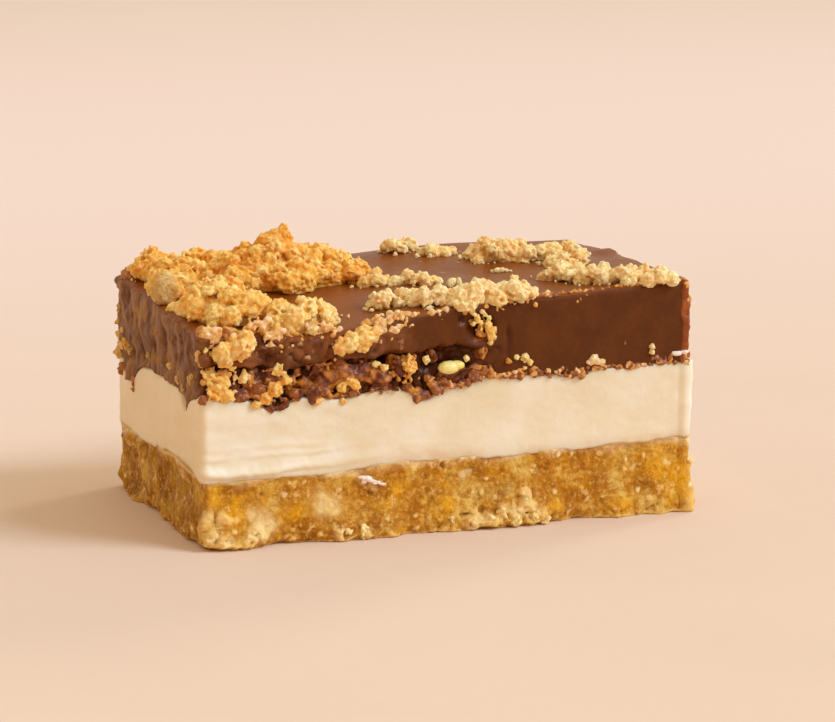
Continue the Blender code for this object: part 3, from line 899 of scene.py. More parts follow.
def creamMaterial():
    material, tree, shader = newMaterial("setCream", 0.42)
    patches = mottled(tree, 0.007, 0.0016, 0.2)
    # a thin film of base colour where the knife carried it up
    film = product(tree, attribute(tree, "film"), span(tree, patches, 0.0, 1.0, 0.35, 0.8))
    colour = mixColour(tree, patches, srgb(243, 229, 201), srgb(237, 219, 181))
    # whiter at the right rim and on fold and ripple ridges: painted highlight; the listed smears are the
    # cream's own whiter patches
    colour = tinted(tree, colour, attribute(tree, "smearsAndHighlight"), (253, 246, 232))
    # warmer and darker on the left face: painted shade
    colour = tinted(tree, colour, product(tree, attribute(tree, "leftShade"), 0.5), (240, 206, 150))
    colour = tinted(tree, colour, film, (226, 184, 136))
    tree.links.new(colour, shader.inputs["Base Color"])
    softInside(shader, 0.4, (1.0, 0.7, 0.4), 2.0 * mm)
    grainBump(tree, shader, 0.0012, 0.004, 0.1, 0.07 * mm)
    return material


def makeCream():
    points, outwards = walkOutline(creamShape["step"])
    floor, roof = tableOf(points, baseTop) - creamShape["floorGap"], tableOf(points, creamTop)
    along = np.column_stack([points, 0 * points[:, 0]])
    floor += 0.28 * mm * softNoise(along, 2.4 * mm, 101) + 0.14 * mm * softNoise(along, 0.9 * mm, 103)
    heights, places = columnsBetween(points, floor, roof, creamShape["rows"])
    above = heights - floor[:, None]
    front, right, _, left = sidesOf(outwards)
    lipTo, lipFade = creamShape["lipTo"]
    leftward = ramp((lipTo - points[:, :1]) / lipFade) * front
    rippleSize, rippleRise = creamShape["ripple"]
    ripples = softNoise(warped(places, 4 * mm, 46), rippleSize, 41, (6, 6, 1.0))
    wipeSize, wipeRise = creamShape["wipe"]
    out = wipeRise * softNoise(places, wipeSize, 45, (1.6, 1.6, 1.0)) - creamShape["inset"]
    out += rippleRise * (0.3 + 0.7 * leftward) * ripples
    ridges = np.zeros_like(out)
    for number, (height, halfWidth, reach) in enumerate(creamFolds):
        wander = softNoise(places, 6 * mm, 81 + number, (1, 1, 9))
        line = height * mm + (0.3 + 0.12 * height) * mm * wander
        strength = reach * leftward * (0.7 + 0.5 * softNoise(places, 5 * mm, 91 + number, (1, 1, 9)))
        over = (above - line) / (halfWidth * mm)
        # sharp under the fold and soft above it
        ridges += strength * np.exp(-np.where(over < 0, 2.4 * over, 0.8 * over) ** 2)
    out += ridges * mm
    out += 0.04 * mm * softNoise(places, 0.9 * mm, 42, (2, 2, 1))
    # the right rim, where the cream is painted whiter as highlight
    rimFrom, rimFade = creamShape["rimFrom"]
    rim = np.maximum(right, front * ramp((points[:, :1] - rimFrom) / rimFade))
    out += right * (creamShape["rightBulge"] + 0.35 * mm * softNoise(places, 2.2 * mm, 49))
    out[:, -1] -= 0.4 * mm
    out[:, 0] += 0.16 * mm * ramp((points[:, 0] + 25 * mm) / (20 * mm)) - 0.1 * mm
    columns = pushedOut(points, outwards, out, heights)
    edge = creamShape["filmDepth"] * (1 + 0.5 * softNoise(places, 3 * mm, 48))
    brownedAt, brownedWidth = creamShape["brownedAt"]
    browned = np.exp(-((points[:, :1] - brownedAt) / brownedWidth) ** 4)
    filmFrom, filmOver = creamShape["filmFrom"]
    film = np.exp(-(above / (edge * (1 + 0.9 * browned))) ** 2)
    film = film * ramp((points[:, :1] - filmFrom) / filmOver)
    # the right rim and the tops of the folds and ripples are painted highlight; the smears below are whiter
    # cream
    smearsAndHighlight = 0.35 * rim + 0.4 * ridges * (above > 0.9 * mm) + 0.1 * ripples * leftward
    wiped = warped(places, 2.4 * mm, 107, 0.6) / mm
    for x, z, halfLength, halfHeight, strength in creamSmears:
        away = ((wiped[..., 0] - x) / halfLength) ** 2 + ((wiped[..., 2] - z) / halfHeight) ** 2
        smearsAndHighlight = np.maximum(smearsAndHighlight, front * strength * np.exp(-away))
    values = {
        "smearsAndHighlight": np.clip(smearsAndHighlight, 0, 1),
        # share of the left face, for the painted shade on it
        "leftShade": left + 0 * out,
        "film": np.maximum(film, 0.25 * np.exp(-(above / (0.7 * mm)) ** 2)),
    }
    spacing = creamShape["sheetSpacing"]
    made = layerObject("creamFilling", columns, values,
                       lambda x, y: baseTop(x, y) - creamShape["floorGap"],
                       lambda x, y: creamTop(x, y) - creamShape["roofGap"], spacing, spacing)
    made.data.materials.append(creamMaterial())
    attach(made, "root")
    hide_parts("cream_layer")
    print("cream ready:", len(made.data.polygons), "faces")


makeCream()

# Chocolate layer: a smooth shelf over a rough crumb seam at the front left

chocolateShape = {
    "step": 0.3 * mm,
    "rows": 48,
    "lipHeight": 28.4 * mm,
    "lipSwells": ((-27, -25, 3.5, -1.3), (-2, -25, 4.5, 1.1), (-35, -25, 4, -0.5)),
    "shelfEnd": 1 * mm,
    "shelfFade": 9 * mm,
    "overhang": 0.35 * mm,
    "recess": 1.35 * mm,
    "edgeRound": 0.8 * mm,
    "topFrom": 30 * mm,
    "leftInset": 0.05 * mm,
    "crag": (3.4 * mm, 0.95 * mm),
    "chip": (1.4 * mm, 0.32 * mm),
    "rimFrom": 39.1 * mm,
    "rimPast": (-22 * mm, 2 * mm),
    "craggyFrom": (-4 * mm, 8 * mm),
    "lipSoftness": 0.5 * mm,
    "plate": 3.2 * mm,
    "crumb": (1.7 * mm, 0.8 * mm),
    "fine": (0.8 * mm, 0.25 * mm),
    "floorGap": 0.2 * mm,
    "sheetSpacing": (9 * mm, 0.8 * mm),
}
# Hollows in the cut front: x, height, half width, half height, depth
chocolateHollows = (
    (4.8, 32.2, 2.6, 2.4, 1.6), (2.0, 33.6, 1.2, 1.0, 0.7), (-10.0, 27.6, 4.0, 1.7, 1.2),
    (-1.0, 27.2, 3.6, 1.5, 1.3), (9.6, 29.6, 0.7, 3.4, 0.35),
)


def lipHeight(x, y):
    ripple = 0.5 * waves(x, y, 0, 4 * mm, 9.2) + 0.55 * waves(x, y, 0, 1.3 * mm, 2.2)
    height = chocolateShape["lipHeight"] + mm * (ripple + 0.25 * waves(x, y, 0, 0.6 * mm, 4.1))
    for placeX, placeY, radius, rise in chocolateShape["lipSwells"]:
        height += rise * mm * math.exp(-((x / mm - placeX) ** 2 + (y / mm - placeY) ** 2) / radius ** 2)
    return height


def shelfShare(x, outY):
    fade = float(ramp((x - chocolateShape["shelfEnd"]) / chocolateShape["shelfFade"]))
    return max(0.0, -outY) * (1 - fade)


def chocolateOut(x, y, outX, outY, z, lip):
    shelf, left = shelfShare(x, outY), max(0.0, -outX)
    above = float(ramp((z - lip) / chocolateShape["lipSoftness"] + 0.5))
    rough = waves(x, y, z, 3.2 * mm, 6.1)
    low = -shelf * (chocolateShape["recess"] + 1.0 * mm * rough)
    high = shelf * chocolateShape["overhang"]
    swell = 0.25 * mm * waves(x, y, z, 12 * mm, 0.4)
    return left * 0.3 * mm * rough + above * high + (1 - above) * low + swell


def cutChocolateMaterial():
    # dull where the knife went through, greyer and streaked where it dragged the left side; the streaks are
    # partly painted highlight on ridges, and the right rim and crevices get painted rim light and painted
    # shade
    material, tree, shader = newMaterial("cutChocolate", 0.5)
    patches = mottled(tree, 0.004, 0.0009, 0.3)
    dust, seamMask = attribute(tree, "dust"), attribute(tree, "seam")
    cut = mixColour(tree, patches, srgb(90, 44, 6), srgb(104, 52, 10))
    # redder and lighter at the right rim: painted rim light
    rimLitRed = mixColour(tree, span(tree, patches, 0.45, 1.0), srgb(146, 66, 22), srgb(176, 92, 40))
    cut = tinted(tree, cut, span(tree, attribute(tree, "rim"), 0.35, 0.85, 0.0, 0.85), rimLitRed)
    cut = tinted(tree, cut, product(tree, dust, 0.7), (156, 92, 48))
    crumbs = product(tree, specked(tree, 0.0013, 0.5, 0.3), span(tree, dust, 0.2, 0.7))
    cut = tinted(tree, cut, product(tree, crumbs, 0.8), (208, 150, 104))
    dragged = mixColour(tree, patches, srgb(92, 50, 16), srgb(138, 88, 44))
    # lighter along the drag ridges: partly the dragged surface's greyer streaks, partly painted highlight
    streaks = span(tree, attribute(tree, "streak"), -0.4, 0.8, 0.0, 0.9)
    dragged = tinted(tree, dragged, streaks, (160, 114, 78))
    syrup = mottled(tree, 0.0042, 0.0008, 0.25)
    dragged = tinted(tree, dragged, span(tree, syrup, 0.62, 0.95, 0.0, 0.75), (170, 116, 44))
    colour = tinted(tree, cut, attribute(tree, "drag"), dragged)
    colour = tinted(tree, colour, product(tree, specked(tree, 0.0032, 0.2, 0.07), 0.5), (190, 140, 100))
    colour = tinted(tree, colour, product(tree, seamMask, 0.6), (84, 38, 12))
    # darker in crevices: painted shade
    colour = tinted(tree, colour, span(tree, attribute(tree, "crest"), -1.0, 0.1, 0.75, 0.0), (40, 15, 5))
    tree.links.new(colour, shader.inputs["Base Color"])
    tree.links.new(span(tree, seamMask, 0.0, 1.0, 0.52, 0.3), shader.inputs["Roughness"])
    shader.inputs["Specular IOR Level"].default_value = 0.16
    softInside(shader, 0.12, (1.0, 0.35, 0.12), 0.8 * mm)
    grainBump(tree, shader, 0.0005, 0.0022, 0.25, 0.05 * mm)
    return material


def topChocolateMaterial():
    material, tree, shader = newMaterial("setChocolateTop", 0.3)
    patches = mottled(tree, 0.009, 0.0016, 0.25)
    colour = mixColour(tree, patches, srgb(124, 59, 8), srgb(138, 71, 15))
    colour = tinted(tree, colour, product(tree, specked(tree, 0.004, 0.25, 0.08), 0.5), (220, 160, 90))
    tree.links.new(colour, shader.inputs["Base Color"])
    tree.links.new(span(tree, patches, 0.0, 1.0, 0.3, 0.42), shader.inputs["Roughness"])
    shader.inputs["Specular IOR Level"].default_value = 0.24
    grainBump(tree, shader, 0.0012, 0.004, 0.1, 0.05 * mm)
    return material


def makeChocolate():
    points, outwards = walkOutline(chocolateShape["step"])
    floor, roof = tableOf(points, creamTop), tableOf(points, chocolateTop)
    lips = tableOf(points, lipHeight)
    heights, places = columnsBetween(points, floor, roof, chocolateShape["rows"])
    out = np.empty_like(heights)
    for i, ((x, y), (outX, outY)) in enumerate(zip(points, outwards)):
        for j, z in enumerate(heights[i]):
            out[i, j] = chocolateOut(x, y, outX, outY, z, lips[i])
    shelf = np.array([shelfShare(x, outY) for (x, _), (_, outY) in zip(points, outwards)])[:, None]
    front, right, back, left = sidesOf(outwards)
    belowLip = 1 - ramp((heights - lips[:, None]) / chocolateShape["lipSoftness"] + 0.5)
    drag = softNoise(warped(places, 3 * mm, 50), 1.25 * mm, 51, (1, 1, 3.4))
    drag += 0.25 * softNoise(warped(places, 3 * mm, 59), 0.6 * mm, 52, (1, 1, 4))
    torn = np.clip(softNoise(warped(places, 2 * mm, 58), 1.9 * mm, 53, (1, 1, 1.6)) - 0.15, 0, 1)
    low = ramp((lips[:, None] + 2 * mm - heights) / (4 * mm))
    cragSize, cragRise = chocolateShape["crag"]
    chipSize, chipRise = chocolateShape["chip"]
    tall = places * np.array([1, 1, 0.8])
    crags = billow(warped(tall, cragSize, 61, 0.5), cragSize, 64) - 0.5
    chips = billow(warped(tall, chipSize, 66, 0.5), chipSize, 69) - 0.5
    rimFrom = chocolateShape["rimFrom"] + 0.5 * mm * softNoise(places, 1.8 * mm, 78)
    rim = np.maximum(right, front * ramp((points[:, :1] - rimFrom) / (0.5 * mm)))
    craggyFrom, craggyFade = chocolateShape["craggyFrom"]
    craggyFront = front * ramp((craggyFrom - points[:, :1]) / craggyFade)
    craggy = 0.6 * left + 1.1 * craggyFront + 0.4 * back
    plate = chocolateShape["plate"]
    _, plateNumber = cellNoise(warped(places, plate, 97, 0.7) * np.array([0.7, 0.7, 1.2]), plate, 98)
    out += craggyFront * mm * (0.7 * (plateNumber - 0.5) + 0.25 * softNoise(places, 0.8 * mm, 99))
    chips *= 1 - 0.6 * craggyFront
    dragging = left * (0.12 * mm * drag - 2.0 * mm * torn * low)
    out += craggy * (cragRise * crags + chipRise * chips) + dragging
    knobbly = billow(warped(places, 1.5 * mm, 74), 1.5 * mm, 76)
    out += rim * (0.55 * mm * (knobbly - 0.3)) + 0.35 * mm * right
    out -= chocolateShape["leftInset"] * left
    rough = 0
    for key, seed, share in (("crumb", 54, 0.35), ("fine", 55, 0.3)):
        size, rise = chocolateShape[key]
        away, number = cellNoise(places, size, seed)
        rough = rough + rise * bump(away, 0.6) * (number > share)
    out += shelf * belowLip * (rough - 0.35 * mm)
    out += 0.04 * mm * softNoise(places, 1.6 * mm, 56)
    for x, z, halfWidth, halfHeight, depth in chocolateHollows:
        away = np.hypot((places[..., 0] / mm - x) / halfWidth, (places[..., 2] / mm - z) / halfHeight)
        dip = ramp(1.25 - away) * (1 + 0.5 * softNoise(places, 1.3 * mm, 57))
        out -= front * depth * mm * dip
    edge = chocolateShape["edgeRound"]
    fromRoof = np.clip((heights - (roof[:, None] - edge)) / edge, 0, 1)
    out -= edge * (1 - np.sqrt(np.clip(1 - fromRoof ** 2, 0, 1)))
    columns = pushedOut(points, outwards, out, heights)
    rimPast, rimFade = chocolateShape["rimPast"]
    values = {
        "seam": shelf * belowLip,
        "drag": left * np.ones_like(heights),
        "streak": drag + 0.4 * chips,
        # the right corner, where rim light is painted
        "rim": np.maximum(right * ramp((rimPast - points[:, 1:]) / rimFade), rim * front) + 0 * heights,
        "dust": np.clip(craggyFront * (0.45 + 0.9 * softNoise(places, 2.5 * mm, 95)), 0, 1),
    }
    made = layerObject("chocolateLayer", columns, values,
                       lambda x, y: creamTop(x, y) - chocolateShape["floorGap"],
                       chocolateTop, *chocolateShape["sheetSpacing"])
    addValue(made.data, "crest", crestOf(made.data, 6) / (0.3 * mm))
    for material in (cutChocolateMaterial(), topChocolateMaterial()):
        made.data.materials.append(material)
    for face in made.data.polygons:
        face.material_index = int(face.normal.z > 0.6 and face.center.z > chocolateShape["topFrom"])
    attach(made, "root")
    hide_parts("chocolate_layer")
    print("chocolate ready:", len(made.data.polygons), "faces")


makeChocolate()

# Golden crumble: lobes, each covered with broken lumps, each lump with knobs, and fine nubs over all

crumble = {
    "voxel": 0.2 * mm,
    "lumpRadius": (0.9 * mm, 2.2 * mm),
    "lumpCover": 1.0,
    "knobRadius": (0.24 * mm, 0.47 * mm),
    "knobCover": 0.8,
    "nub": (0.8 * mm, 0.09 * mm),
    "fineNub": (0.46 * mm, 0.07 * mm),
    "coreInset": 2.0 * mm,
    "coreLeast": 0.45 * mm,
    "sunk": 0.6 * mm,
    "gritRadius": (0.3, 0.6),
    "chunkSpots": 40,
    "clingingLumps": 26,
    "clingingRadius": (0.6, 1.25),
}
# Each piece: the node it stands for, how pale it is, and its lobes as x, y, half length, half width and
# height in mm, turn in degrees, and tone from amber 0 to pale 0.9
crumblePieces = {
    "heapBack": ("crumble_heap", 0.1, (
        (-17.8, 8, 15.2, 10.5, 6.4, 4, 0.35), (-30.5, 12, 9, 8.5, 5.6, 0, 0.4),
        (-35.6, 20.5, 4.2, 4.4, 4.4, 0, 0.45), (-36.6, 7.5, 3.6, 4.2, 4.0, 0, 0.5),
        (-18.6, 8, 4.8, 3.6, 7.6, 0, 0.1), (-18.2, 8, 3.4, 2.6, 8.4, 0, 0.05),
        (-17.4, 8, 2.5, 1.9, 8.9, 0, 0.0), (-16.9, 8, 1.7, 1.4, 9.5, 0, 0.0),
    )),
    "heapFront": ("crumble_heap", 0.15, (
        (-33.2, -1.0, 3.2, 3.0, 3.2, 0, 0.25), (-38.4, -7.4, 2.0, 2.6, 1.9, 0, 0.8),
        (-33.2, -13.6, 7.2, 7.8, 6.0, 8, 0.45), (-23.8, -20.9, 6.8, 4.5, 4.8, 12, 0.8),
    )),
    "frontEdge": ("crumble_front_edge", 0.75, (
        (-5.8, -15.8, 4.4, 2.4, 2.6, 10, 0.75), (-0.8, -19.4, 4.6, 2.5, 2.3, -10, 0.85),
        (4.6, -23.2, 4.6, 3.2, 3.7, 0, 0.7), (10.4, -23.7, 4.4, 2.8, 3.4, 0, 0.7),
    )),
    "rightEdge": ("crumble_right_edge", 0.75, (
        (24.4, -13.4, 4.8, 3.2, 2.8, -10, 0.8), (28.2, -18.8, 4.6, 3.4, 2.7, -40, 0.8),
        (32.0, -22.4, 3.8, 2.9, 2.8, -20, 0.75), (35.6, -24.2, 3.2, 2.5, 2.5, 0, 0.8),
        (33.4, -19.0, 3.2, 2.4, 2.1, -30, 0.7),
    )),
    "midLeft": ("crumble_mid_left", 0.4, ((-4.4, -1.4, 2.8, 2.4, 2.3, -20, 0.45),)),
    "midRight": ("crumble_mid_right", 0.55, ((1.4, -4.4, 4.4, 2.0, 2.0, -18, 0.7),)),
    "backLeft": ("crumble_back_left", 0.55, ((7.5, 20.4, 3.4, 2.2, 2.2, 8, 0.7),)),
    "backMid": ("crumble_back_mid", 0.55, ((12.4, 14.8, 3.4, 2.1, 1.8, -8, 0.75),)),
    "backLarge": ("crumble_back_large", 0.6, (
        (18.8, 8.4, 4.4, 3.8, 3.8, 0, 0.6), (22.8, 8.0, 4.4, 3.6, 3.4, 0, 0.65),
        (25.6, 5.4, 3.4, 3.2, 2.6, -12, 0.7),
    )),
    "backRight": ("crumble_back_right", 0.55, (
        (31.0, 5.4, 4.6, 3.6, 2.8, -6, 0.65), (29.2, -1.6, 4.0, 3.2, 2.2, 0, 0.7),
    )),
}
# Single smooth chunks in the heap: x, y, lift over the chocolate, radius, tone
heapChunks = ((-39.2, 0.2, 1.9, 2.7, 1.0), (-38.0, 4.8, 2.4, 2.2, 0.97))
# Crumble clinging to the front face: node, centre and half sizes
clingingPieces = {
    "frontLeft": ("crumble_front_left", (-35.6, -26.0, 31.2), (3.4, 1.7, 2.5)),
    "frontMid": ("crumble_front_mid", (-16.2, -26.4, 31.4), (3.9, 1.9, 2.0)),
}


def unit(vectors):
    return vectors / np.linalg.norm(vectors, axis=1, keepdims=True)


def radiiBetween(limits, draw, count, power):
    # radii between two limits, most of them small where power is over 1
    low, high = limits
    return low + (high - low) * draw.random(count) ** power


def ballTemplate(steps):
    bm = bmesh.new()
    bmesh.ops.create_icosphere(bm, subdivisions=steps, radius=1.0)
    verts = np.array([vert.co for vert in bm.verts])
    faces = np.array([[vert.index for vert in face.verts] for face in bm.faces])
    bm.free()
    return verts, faces


balls = {steps: ballTemplate(steps) for steps in (1, 2, 3)}


def brokenLumps(centres, radii, steps, draw, uneven=0.25, keep=0.55, floors=None):
    # many lumps in one pair of arrays: uneven balls with flats broken off, cut level where floors are given
    verts, faces = balls[steps]
    count = len(centres)
    shaped = verts[None] * (1 + uneven * (draw.random((count, 1, 3)) * 2 - 1))
    for _ in range(7):
        flat = draw.normal(size=(count, 1, 3))
        flat /= np.linalg.norm(flat, axis=2, keepdims=True)
        over = (shaped * flat).sum(axis=2, keepdims=True) - draw.uniform(keep, 1.05, (count, 1, 1))
        shaped = shaped - np.maximum(over, 0) * flat
    placed = shaped * radii[:, None, None] + centres[:, None, :]
    if floors is not None:
        placed[..., 2] = np.maximum(placed[..., 2], floors[:, None])
    allFaces = faces[None] + (np.arange(count) * len(verts))[:, None, None]
    return placed.reshape(-1, 3), allFaces.reshape(-1, 3)


def underTop(centres):
    # a little under the chocolate's top at each centre
    return tableOf(centres[:, :2], chocolateTop) - crumble["sunk"]


def joinArrays(parts):
    verts, faces, start = [], [], 0
    for partVerts, partFaces in parts:
        verts.append(partVerts)
        faces.append(partFaces + start)
        start += len(partVerts)
    return np.concatenate(verts), np.concatenate(faces)


def fusedObject(name, parts, voxel):
    verts, faces = joinArrays(parts)
    made = meshObject(name, verts, faces.tolist(), smooth=False)
    modifier = made.modifiers.new("fuse", "REMESH")
    modifier.mode = "VOXEL"
    modifier.voxel_size = voxel
    modifier.use_smooth_shade = True
    bpy.context.view_layer.update()
    shown = made.evaluated_get(bpy.context.evaluated_depsgraph_get())
    mesh = bpy.data.meshes.new_from_object(shown)
    made.modifiers.remove(modifier)
    old = made.data
    made.data = mesh
    bpy.data.meshes.remove(old)
    mesh.name = name
    return made


def upperBall(count, draw, lowest):
    # evenly spread directions over the part of a ball above lowest
    number = np.arange(count) + draw.random(count) * 0.8
    rise = lowest + (1 - lowest) * (1 - (number + 0.5) / (count + 1))
    angle = number * math.pi * (3 - math.sqrt(5)) + draw.random(count) * 0.5
    flat = np.sqrt(np.clip(1 - rise ** 2, 0, 1))
    return np.stack([flat * np.cos(angle), flat * np.sin(angle), rise], axis=1)


def lumpsWithKnobs(centres, radii, normals, draw, facing=-0.35, onTop=False):
    # irregular lumps, each a broken core under knobs of several sizes
    low, high = crumble["knobRadius"]
    spots, sizes, owners = [], [], []
    for number, (centre, radius, normal) in enumerate(zip(centres, radii, normals)):
        biggest = min(high, 0.6 * radius)
        smallest = min(low, 0.6 * biggest)
        count = max(6, int(crumble["knobCover"] * 16 * (radius / (biggest + smallest)) ** 2))
        directions = unit(draw.normal(size=(count, 3)))
        directions = directions[directions @ normal > facing]
        knob = draw.uniform(smallest, biggest, len(directions))
        reach = radius * draw.uniform(0.84, 1.03, len(directions)) - 0.1 * knob
        spots.append(centre + directions * draw.uniform(0.8, 1.2, 3) * reach[:, None])
        sizes.append(knob)
        owners.append(np.full(len(directions), number))
    spots, sizes, owners = np.concatenate(spots), np.concatenate(sizes), np.concatenate(owners)
    floors = (underTop(centres), underTop(spots)) if onTop else (None, None)
    parts = [
        brokenLumps(centres, radii * 0.92, 3, draw, 0.24, 0.6, floors[0]),
        brokenLumps(spots, sizes, 1, draw, 0.25, 0.6, floors[1]),
    ]
    return parts, spots, owners


def addNubs(made, size, rise, seed):
    places, normals = vertexArrays(made.data)
    places += normals * (rise * (billow(warped(places, size, seed + 7), size, seed) - 0.55))[:, None]
    made.data.vertices.foreach_set("co", places.reshape(-1))
    made.data.update()


def lobeLumps(lobe, draw):
    x, y, halfLength, halfWidth, height, turn, _ = lobe
    sizes = np.array([halfLength, halfWidth, height]) * mm
    angle = math.radians(turn)
    across, up = math.cos(angle), math.sin(angle)
    spin = np.array([[across, -up, 0], [up, across, 0], [0, 0, 1]])
    centre = np.array([x * mm, y * mm, chocolateTop(x * mm, y * mm)])
    low, high = crumble["lumpRadius"]
    high = min(high, 0.62 * min(halfWidth, height) * mm)
    low = min(low, 0.6 * high)
    area = math.pi * halfLength * halfWidth + 4 * height * math.sqrt(halfLength * halfWidth)
    count = max(6, int(crumble["lumpCover"] * area / (math.pi * ((low + high) / 2 / mm) ** 2)))
    units = upperBall(count, draw, 0.0)
    radii = radiiBetween((low, high), draw, count, 1.4)
    normals = unit(units / sizes) @ spin.T
    sink = radii * draw.uniform(0.4, 1.2, count)
    lumps = centre + (units * sizes) @ spin.T - normals * sink[:, None]
    return centre, sizes, spin, lumps, radii, normals


def finishCrumble(made, spots, tones, paleness, seed, rough=1.0):
    # tone and paleness say how each lump was baked, and paleness also brightens its proud parts as painted
    # highlight; crest and hollow say where it stands proud and where it lies deep, for painted highlight and
    # painted shade
    for step, (size, rise) in enumerate((crumble["nub"], crumble["fineNub"])):
        addNubs(made, size, rough * rise, seed + 50 * step)
    tree = kdtree.KDTree(len(spots))
    for i, spot in enumerate(spots + np.array(bar["shift"])):
        tree.insert(spot, i)
    tree.balance()
    places, _ = vertexArrays(made.data)
    addValue(made.data, "tone", [tones[tree.find(place)[1]] for place in places])
    addValue(made.data, "paleness", np.full(len(places), paleness))
    addValue(made.data, "crest", crestOf(made.data, 5) / (0.2 * mm))
    addValue(made.data, "hollow", crestOf(made.data, 40) / (0.9 * mm))


def makeCrumble(name, lobes, paleness, seed):
    draw = np.random.default_rng(seed)
    parts, spots, tones = [], [], []
    for lobe in lobes:
        centre, sizes, spin, lumps, radii, normals = lobeLumps(lobe, draw)
        verts, faces = balls[3]
        inner = (sizes - crumble["coreInset"]).clip(crumble["coreLeast"])
        core = (verts * inner) @ spin.T + centre
        core[:, 2] = np.maximum(core[:, 2], centre[2] - crumble["sunk"])
        parts.append((core, faces))
        count = int(2.6 * inner[0] * inner[1] / (0.4 * mm) ** 2)
        grit = upperBall(count, draw, 0.1) * inner @ spin.T + centre
        parts.append(brokenLumps(grit, draw.uniform(*crumble["gritRadius"], count) * mm, 1, draw))
        more, knobs, owners = lumpsWithKnobs(lumps, radii, normals, draw, onTop=True)
        parts += more
        spots.append(knobs)
        lumpTones = lobe[6] + 0.75 * (draw.random(len(lumps)) - 0.5)
        tones.append(np.clip(lumpTones[owners] + draw.normal(0, 0.1, len(owners)), 0, 0.92))
    for x, y, lift, radius, tone in heapChunks if name == "heapFront" else ():
        centre = np.array([[x * mm, y * mm, chocolateTop(x * mm, y * mm) + lift * mm]])
        parts.append(brokenLumps(centre, np.array([radius * mm]), 3, draw, 0.14, 0.78))
        around = unit(draw.normal(size=(crumble["chunkSpots"], 3)))
        spots.append(centre + around * radius * mm)
        tones.append(np.full(len(around), tone))
    made = fusedObject(name, parts, crumble["voxel"])
    finishCrumble(made, np.concatenate(spots), np.concatenate(tones), paleness, seed)
    return made


def makeClinging(name, centre, sizes, seed):
    draw = np.random.default_rng(seed)
    centre, sizes = np.array(centre) * mm, np.array(sizes) * mm
    units = unit(draw.normal(size=(crumble["clingingLumps"], 3)))
    radii = draw.uniform(*crumble["clingingRadius"], len(units)) * mm
    lean = np.array([[1, 0, 0.4], [0, 1, 0], [0, 0, 1]])
    lumps = centre + (units * np.maximum(sizes - radii[:, None] * 0.9, 0.2 * mm)) @ lean
    verts, faces = balls[3]
    more, knobs, owners = lumpsWithKnobs(lumps, radii, units, draw)
    made = fusedObject(name, [(verts * sizes * 0.55 @ lean + centre, faces)] + more, crumble["voxel"])
    finishCrumble(made, knobs, draw.random(len(lumps))[owners], 0.25, seed)
    return made


def crumbleMaterial():
    material, tree, shader = newMaterial("goldenCrumble", 0.72)
    grain = placeGroup(tree, grains, Size=0.0007)
    # crest and grain tips make proud; the golden scale runs from amber where it is low to pale where it is
    # high: painted shade in creases, painted highlight on crests
    crest = span(tree, attribute(tree, "crest"), -1.3, 1.3)
    proud = maths(tree, "ADD", product(tree, crest, 0.65), product(tree, grain.outputs["Tips"], 0.35))
    golden = colourScale(tree, proud, (0.0, 204, 110, 8), (0.3, 234, 157, 36), (0.55, 248, 194, 88),
                         (0.85, 255, 228, 158))
    toned = colourScale(tree, attribute(tree, "tone"), (0.0, 230, 140, 12), (0.3, 239, 165, 36),
                        (0.6, 248, 197, 88), (0.9, 255, 226, 152), (1.0, 150, 104, 46))
    patches, hollow = mottled(tree, 0.0036, 0.0012, 0.25), attribute(tree, "hollow")
    colour = mixColour(tree, 0.6, golden, toned)
    for mask, tone in (
        (span(tree, patches, 0.5, 0.95, 0.0, 0.5), (238, 160, 32)),
        (span(tree, patches, 0.3, 0.0, 0.0, 0.35), (255, 228, 150)),
        # paler on the proud parts of paler pieces: partly their own colour, partly painted highlight
        (product(tree, attribute(tree, "paleness"), proud), (255, 235, 190)),
        # darker orange deep in hollows: painted shade; paler on bulges: painted highlight
        (span(tree, hollow, -0.9, 0.0, 0.8, 0.0), (170, 86, 8)),
        (span(tree, hollow, 0.1, 1.0, 0.0, 0.3), (255, 228, 168)),
    ):
        colour = tinted(tree, colour, mask, tone)
    tree.links.new(colour, shader.inputs["Base Color"])
    shader.inputs["Specular IOR Level"].default_value = 0.15
    softInside(shader, 0.55, (1.0, 0.7, 0.35), 0.55 * mm)
    addBump(tree, shader, grain.outputs["Height"], 0.2 * mm)
    return material


goldenCrumble = crumbleMaterial()


def dressCrumble(made, node):
    made.data.materials.clear()
    made.data.materials.append(goldenCrumble)
    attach(made, "root")
    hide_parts(node)
    print(made.name, "ready:", len(made.data.polygons), "faces")


for number, (name, (node, paleness, lobes)) in enumerate(crumblePieces.items()):
    dressCrumble(makeCrumble(name, lobes, paleness, 101 + number), node)
for number, (name, (node, centre, sizes)) in enumerate(clingingPieces.items()):
    dressCrumble(makeClinging(name, centre, sizes, 201 + number), node)

